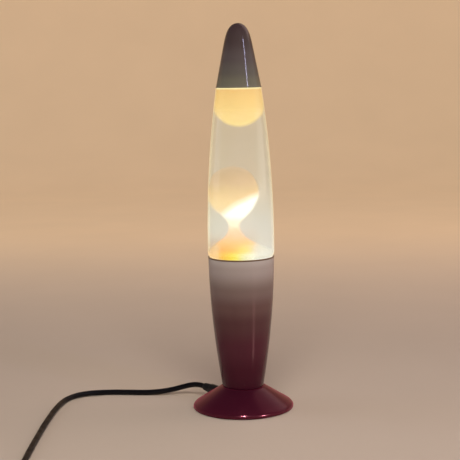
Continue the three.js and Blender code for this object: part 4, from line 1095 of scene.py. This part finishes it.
haze_alpha, haze_swells, haze_fades = 0.32, (0.9, 1.9), (196, 214)
for lump, rows, grounded, top_alpha in [
    (column, column_rows, True, 0.0), (upper_lump, float_rows, False, haze_alpha),
]:
    haze = lump.data.materials[0].copy()
    haze.name = f"{lump.name} haze"
    haze_tree = haze.node_tree
    haze_place = add(haze_tree, "ShaderNodeTexCoord").outputs["Object"]
    faded = height_share(haze_tree, haze_place, *haze_fades)
    thin = ramp(haze_tree, faded, [(0.0, haze_alpha), (1.0, top_alpha)], "EASE")
    feed(haze_tree.nodes["Principled BSDF"], "Alpha", thin)
    for number, swell in enumerate(haze_swells):
        veil = wax_shape(f"{lump.name}_haze_{number + 1}", rows, haze, grounded, swell)
        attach(veil, "bottle")

for lump, node in [(column, "wax_column"), (upper_lump, "wax_float")]:
    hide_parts(node)
    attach(lump, "bottle")


# Heating coil. A spring of thin zinc-plated wire, joined end to end in a ring on the bottle's floor.
# It takes up heat from the bulb and melts the wax round it.
def spring_tree():
    """A wire that winds round a ring: a circle's points are moved on to the windings, then it gets a
    round section."""
    tree, given = new_tree("ring spring", Ring=17.0, Winding=1.75, Height=125.7, Wire=0.4, Turns=30, Steps=10)
    size = in_metres(tree, given, "Ring", "Winding", "Height", "Wire")
    count = worked(tree, "MULTIPLY", given["Turns"], given["Steps"])
    ring = add(tree, "GeometryNodeCurvePrimitiveCircle", {"Resolution": count, "Radius": 1.0}).outputs[0]
    share = add(tree, "GeometryNodeSplineParameter").outputs["Factor"]
    angle = worked(tree, "MULTIPLY", share, 2 * math.pi)
    wound = worked(tree, "MULTIPLY", angle, given["Turns"])
    reach = worked(tree, "MULTIPLY_ADD", size["Winding"], worked(tree, "COSINE", wound), size["Ring"])
    rise = worked(tree, "MULTIPLY_ADD", size["Winding"], worked(tree, "SINE", wound), size["Height"])
    place = round_z(tree, reach, angle, rise)
    bent = add(tree, "GeometryNodeSetPosition", {"Geometry": ring, "Position": place}).outputs[0]
    close_tree(tree, piped_along(tree, bent, size["Wire"]), given)
    return tree


spring = grown("spring", spring_tree(), screw_metal)
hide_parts("heating_coil")
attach(spring, "bottle")


# Liquid. Clear water and additives, slightly cloudy, filled up to the foot of the neck. It is lit by
# the bulb through the floor, and that light is painted on as its own glow, whiter low down than under
# the cap. Its skin lies in the glass, close to the outer face, because glass that liquid wets looks
# full of it.
def liquid_finish():
    """Lit liquid as a thin veil of painted light: whiter low down, cooler to the right."""
    material, tree, shader, place = finish("pale liquid", 0.1)
    feed(shader, "Specular IOR Level", 0.25)
    share = height_share(tree, place, rim_height, cap_low)
    colour = ramp(tree, share, [
        (0.0, (240, 250, 250)), (0.2, (230, 241, 238)), (0.35, (222, 225, 212)),
        (0.5, (208, 206, 190)), (0.75, (202, 198, 180)), (1.0, (202, 196, 172)),
    ])
    cloud = ramp(tree, grain(tree, place, 26, 4), [(0.3, 0.95), (0.7, 1.0)])
    clouded = mixed(tree, 1.0, colour, cloud, "MULTIPLY")
    side = 0.03
    across = spanned(tree, axes_of(tree, place)["X"], -side, side)
    # Painted light: warmer on the left and cooler on the right, where the veil is also thicker.
    warmer = ramp(tree, across, [
        (0.0, (1.0, 1.0, 0.92, 1)), (0.5, 1.0), (0.8, (0.96, 0.96, 0.94, 1)), (1.0, (0.94, 0.95, 0.93, 1)),
    ])
    glow(tree, shader, mixed(tree, 1.0, clouded, warmer, "MULTIPLY"), 0.8)
    veil = ramp(tree, share, [
        (0.0, 0.03), (0.05, 0.06), (0.09, 0.18), (0.15, 0.36), (0.35, 0.36), (0.5, 0.3),
    ])
    lit_side = ramp(tree, across, [(0.55, 0.0), (0.8, 0.36)], "EASE")
    feed(shader, "Alpha", worked(tree, "MAXIMUM", veil, lit_side))
    return material


cap_low, skin_lift, brim_gap, brim_round = 293, 0.1, 0.5, 0.4
liquid_outline = [(0, liquid_bottom + skin_lift)]
liquid_outline += [(r, h) for r, h in bore_line(wetting) if h > liquid_bottom]
liquid_outline += [(r, h) for r, h in neck_line(wetting) if h < liquid_top - brim_gap]
liquid_outline += [(liquid_outline[-1][0] - brim_round, liquid_top), (0, liquid_top - brim_round)]
liquid = turned("liquid_fill", liquid_outline, liquid_finish(), 128)
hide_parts("liquid")
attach(liquid, "bottle")


# Crown cap and liner. A pressed tin cap with 21 crimps closes the bottle over a soft pale disc. The
# tall cap hides it.
def crimp_tree():
    """Waves round the skirt of a pressed cap, deepest at its lower edge and gone at its shoulder."""
    tree, given = new_tree("crimps", Crimps=21, Depth=0.5, Low=304.0, High=309.0)
    spot = add(tree, "GeometryNodeInputPosition").outputs[0]
    axes = axes_of(tree, spot)
    angle = worked(tree, "ARCTAN2", axes["Y"], axes["X"])
    wave = worked(tree, "COSINE", worked(tree, "MULTIPLY", angle, given["Crimps"]))
    height = worked(tree, "MULTIPLY", axes["Z"], 1000.0)
    faded = worked(tree, "MULTIPLY", wave, spanned(tree, height, given["Low"], given["High"], 1.0, 0.0))
    reach = worked(tree, "DIVIDE", worked(tree, "MULTIPLY", faded, given["Depth"]), 1000.0)
    outward = add(tree, "ShaderNodeVectorMath", {0: spot, 1: (1, 1, 0)}, operation="MULTIPLY").outputs[0]
    way = add(tree, "ShaderNodeVectorMath", {0: outward}, operation="NORMALIZE").outputs[0]
    shift = add(tree, "ShaderNodeVectorMath", {0: way, "Scale": reach}, operation="SCALE").outputs[0]
    waved = add(tree, "GeometryNodeSetPosition", {"Geometry": given["Geometry"], "Offset": shift}).outputs[0]
    close_tree(tree, waved, given)
    return tree


crown_outline = eased([
    (0, 310.3), (12.1, 310.3, 0.6), (13.5, 309.9, 0.8), (14.0, 306.7, 1.0), (15.5, 304), (15.9, 304, 0.15),
    (14.4, 306.7, 1.0), (13.9, 310.2, 0.8), (12.2, 310.7, 0.6), (0, 310.7),
])
crown_seed = turned("crown_form", crown_outline, tinned, 168)
crown = grown("crown", crimp_tree(), tinned, seed=crown_seed.data, Crimps=21, Depth=0.35)
bpy.data.objects.remove(crown_seed)
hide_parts("crown_cap")
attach(crown, "bottle")
dress(moulded_finish("soft liner", linear(222, 218, 206), 0.6), "crown_liner")


# Top cap. A tall cone with a round nose, spun from aluminium and sprayed a browner gloss than the
# base. Its lower edge is turned in, and it stands on the bottle's shoulder.
cap_top, cap_foot_radius, cap_nose_radius, cap_wall, nose_power = 350, 20.4, 9.2, 0.7, 12
cap_steps, cap_hem_thickness, cap_hem_tuck = 48, 0.5, 0.3


def cap_line(inset, top):
    """The cap's side and nose, from the edge up, moved in by a distance."""
    line = []
    for step in range(cap_steps):
        share = math.sin(step / cap_steps * math.pi / 2)
        cone = cap_foot_radius + (cap_nose_radius - cap_foot_radius) * share
        radius = cone * math.sqrt(1 - share ** nose_power)
        line.append((max(0.0, radius - inset), cap_low + (top - cap_low) * share))
    return [*line, (0.0, top)]


# Painted reflection: the paint pales from dark maroon at the nose to greyish brown at the lower edge, where
# the cap reflects its surroundings; the hem shares it.
cap_paint = paint_finish("cap paint", [
    (0.0, (110, 108, 96)), (0.08, (104, 102, 90)), (0.25, (90, 86, 82)), (0.45, (82, 74, 75)),
    (0.75, (67, 56, 57)), (1.0, (60, 47, 50)),
], cap_low, cap_top, roughness=0.1, gloss=0.35)
cap_outline = cap_line(cap_wall, cap_top - cap_wall)[::-1] + cap_line(0, cap_top)
cap = turned("cap", cap_outline, cap_paint, 128, angle=40)
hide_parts("top_cap")
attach(cap, "cap")

cap_hem_radius, cap_hem_height = cap_foot_radius - cap_hem_tuck, cap_low + cap_hem_thickness
cap_hem_outline = bead_outline(cap_hem_radius, cap_hem_height, cap_hem_thickness, 12)
cap_hem = turned("cap_hem", cap_hem_outline, cap_paint, 128)
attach(cap_hem, "cap")


# Studio. A plain pale floor that turns warmer and lighter far from the lamp and sweeps up behind it, a
# dim warm room that is darkest in front and overhead, soft panels of light, a low strip that lights the
# foot's flank, and two narrow sparks that glint on its lip.
def sweep_finish():
    """Pale matt floor. Its far parts give off the light that they would get from a wide bright room."""
    material, tree, shader, place = finish("pale sweep", 0.9)
    back_starts, back_ends, far_starts, far_ends, front_reach = 0.1, 1.3, 1.6, 4.0, 1.6
    back_glow, far_glow, gloss_dims = 0.6, 0.95, 0.7
    axes = axes_of(tree, place)
    run = spanned(tree, worked(tree, "ADD", axes["Y"], axes["Z"]), back_starts, back_ends)
    in_front = worked(tree, "MULTIPLY", axes["Y"], -front_reach)
    aside = worked(tree, "MAXIMUM", worked(tree, "ABSOLUTE", axes["X"]), in_front)
    far = spanned(tree, aside, far_starts, far_ends)
    distance = worked(tree, "MAXIMUM", run, far)
    colour = ramp(tree, distance, [(0.0, (188, 176, 164)), (1.0, (203, 175, 143))], "EASE")
    mottle = ramp(tree, grain(tree, place, 6, 3), [(0.3, 0.97), (0.7, 1.0)])
    even = mixed(tree, 1.0, colour, mottle, "MULTIPLY")
    feed(shader, "Base Color", even)
    feed(shader, "Emission Color", even)
    glowing_back = ramp(tree, run, [(0.0, 0.0), (1.0, back_glow)], "EASE")
    glowing_far = ramp(tree, far, [(0.0, 0.0), (1.0, far_glow)], "EASE")
    glowing = worked(tree, "MAXIMUM", glowing_back, glowing_far)
    path = add(tree, "ShaderNodeLightPath").outputs
    not_through = worked(tree, "SUBTRACT", 1.0, path["Is Transmission Ray"])
    mirrored = worked(tree, "MULTIPLY", path["Is Glossy Ray"], not_through)
    kept = worked(tree, "MULTIPLY_ADD", mirrored, -gloss_dims, 1.0)
    feed(shader, "Emission Strength", worked(tree, "MULTIPLY", glowing, kept))
    feed(shader, "Specular IOR Level", 0.1)
    return material


sweep_width, sweep_front, sweep_start, sweep_round, sweep_top = 16.0, -8.0, 2.0, 0.9, 2.2
sweep = [(sweep_front, 0.0), (-0.5, 0.0), (0.5, 0.0)]
sweep += [(sweep_start + sweep_round * out, sweep_round * up) for out, up in quarter_round(16)]
sweep.append((sweep_start + sweep_round, sweep_top))
build = bmesh.new()
rows = [[build.verts.new((x, y, z)) for x in (-sweep_width / 2, sweep_width / 2)] for y, z in sweep]
for low, high in zip(rows, rows[1:]):
    build.faces.new([low[0], low[1], high[1], high[0]])
floor_mesh = bpy.data.meshes.new("floor")
build.to_mesh(floor_mesh)
build.free()
floor = placed("floor", smoothed(floor_mesh, 60), sweep_finish())

world = bpy.data.worlds.new("room")
bpy.context.scene.world = world
world.use_nodes = True
room = world.node_tree
ahead = axes_of(room, add(room, "ShaderNodeTexCoord").outputs["Generated"])
behind = spanned(room, ahead["Y"], -1.0, 0.8, 0.2, 0.7)
below = spanned(room, ahead["Z"], 0.2, 0.8, 1.0, 0.15)
to_right = spanned(room, ahead["X"], -0.6, 0.6, 0.35, 1.35)
shade = worked(room, "MULTIPLY", worked(room, "MULTIPLY", behind, below), to_right)
path = add(room, "ShaderNodeLightPath").outputs
seen = worked(room, "MAXIMUM", path["Is Camera Ray"], path["Is Transmission Ray"])
tone = mixed(room, seen, linear(244, 232, 216), linear(210, 180, 146))
level = add(room, "ShaderNodeMix", {0: seen, 2: shade, 3: 1.0}, data_type="FLOAT").outputs[0]
feed(room.nodes["Background"], "Color", tone)
feed(room.nodes["Background"], "Strength", level)


def lamp(name, kind, place, aim, energy, colour, hidden_from, **sizes):
    """A light at a place that faces a point, hidden from some kinds of rays. Lengths are in metres."""
    light = bpy.data.lights.new(name, kind)
    light.energy = energy
    light.color = colour[:3]
    for size, value in sizes.items():
        setattr(light, size, value)
    fitting = in_scene(name, light)
    for rays in hidden_from:
        setattr(fitting, f"visible_{rays}", False)
    turn = (Vector(place) - Vector(aim)).to_track_quat("Z", "Y").to_matrix().to_4x4()
    fitting.matrix_world = Matrix.Translation(place) @ turn
    return fitting


def panel(name, place, aim, width, height, energy, colour, *hidden_from):
    """A soft upright panel of light."""
    return lamp(name, "AREA", place, aim, energy, colour, ("camera", *hidden_from),
                shape="RECTANGLE", size=width, size_y=height)


middle = (0, 0, 0.17)
panel("front panel", (0.05, -0.98, 1.2), middle, 0.8, 0.8, 17, linear(255, 244, 232), "glossy")
panel("right panel", (2.6, 0.2, 0.9), middle, 1.6, 1.8, 17, linear(255, 232, 220), "glossy")
panel("left panel", (-2.6, 0.4, 0.9), middle, 1.6, 1.8, 16, linear(240, 240, 255), "glossy")
panel("ceiling panel", (0.8, 0.62, 1.15), middle, 1.2, 1.1, 3.2, linear(255, 214, 208))
panel("strip", (0.86, -0.78, 0.79), (0, 0, 0.32), 0.014, 0.26, 1.6, linear(214, 212, 255))

strip_turn, strip_distance, strip_height = math.radians(44), 0.36, 0.004
strip_place = (strip_distance * math.sin(strip_turn), -strip_distance * math.cos(strip_turn), strip_height)
low_strip = panel("low strip", strip_place, middle, 0.012, 0.5, 0.07, linear(255, 224, 214), "diffuse")
facing_up = Matrix.Rotation(strip_turn, 4, "Z") @ Matrix.Rotation(math.pi, 4, "X")
low_strip.matrix_world = Matrix.Translation(strip_place) @ facing_up

for name, place, glint, energy in [
    ("spark 1", (0.0, -0.42, 0.52), (0.001, -0.0455, 0.002), 42.0),
    ("spark 2", (0.506, -0.426, 0.45), (0.02, -0.0415, 0.002), 52.0),
]:
    lamp(name, "SPOT", place, glint, energy, shown(1.0), ("diffuse",),
         spot_size=math.radians(2.4), shadow_soft_size=0.012)
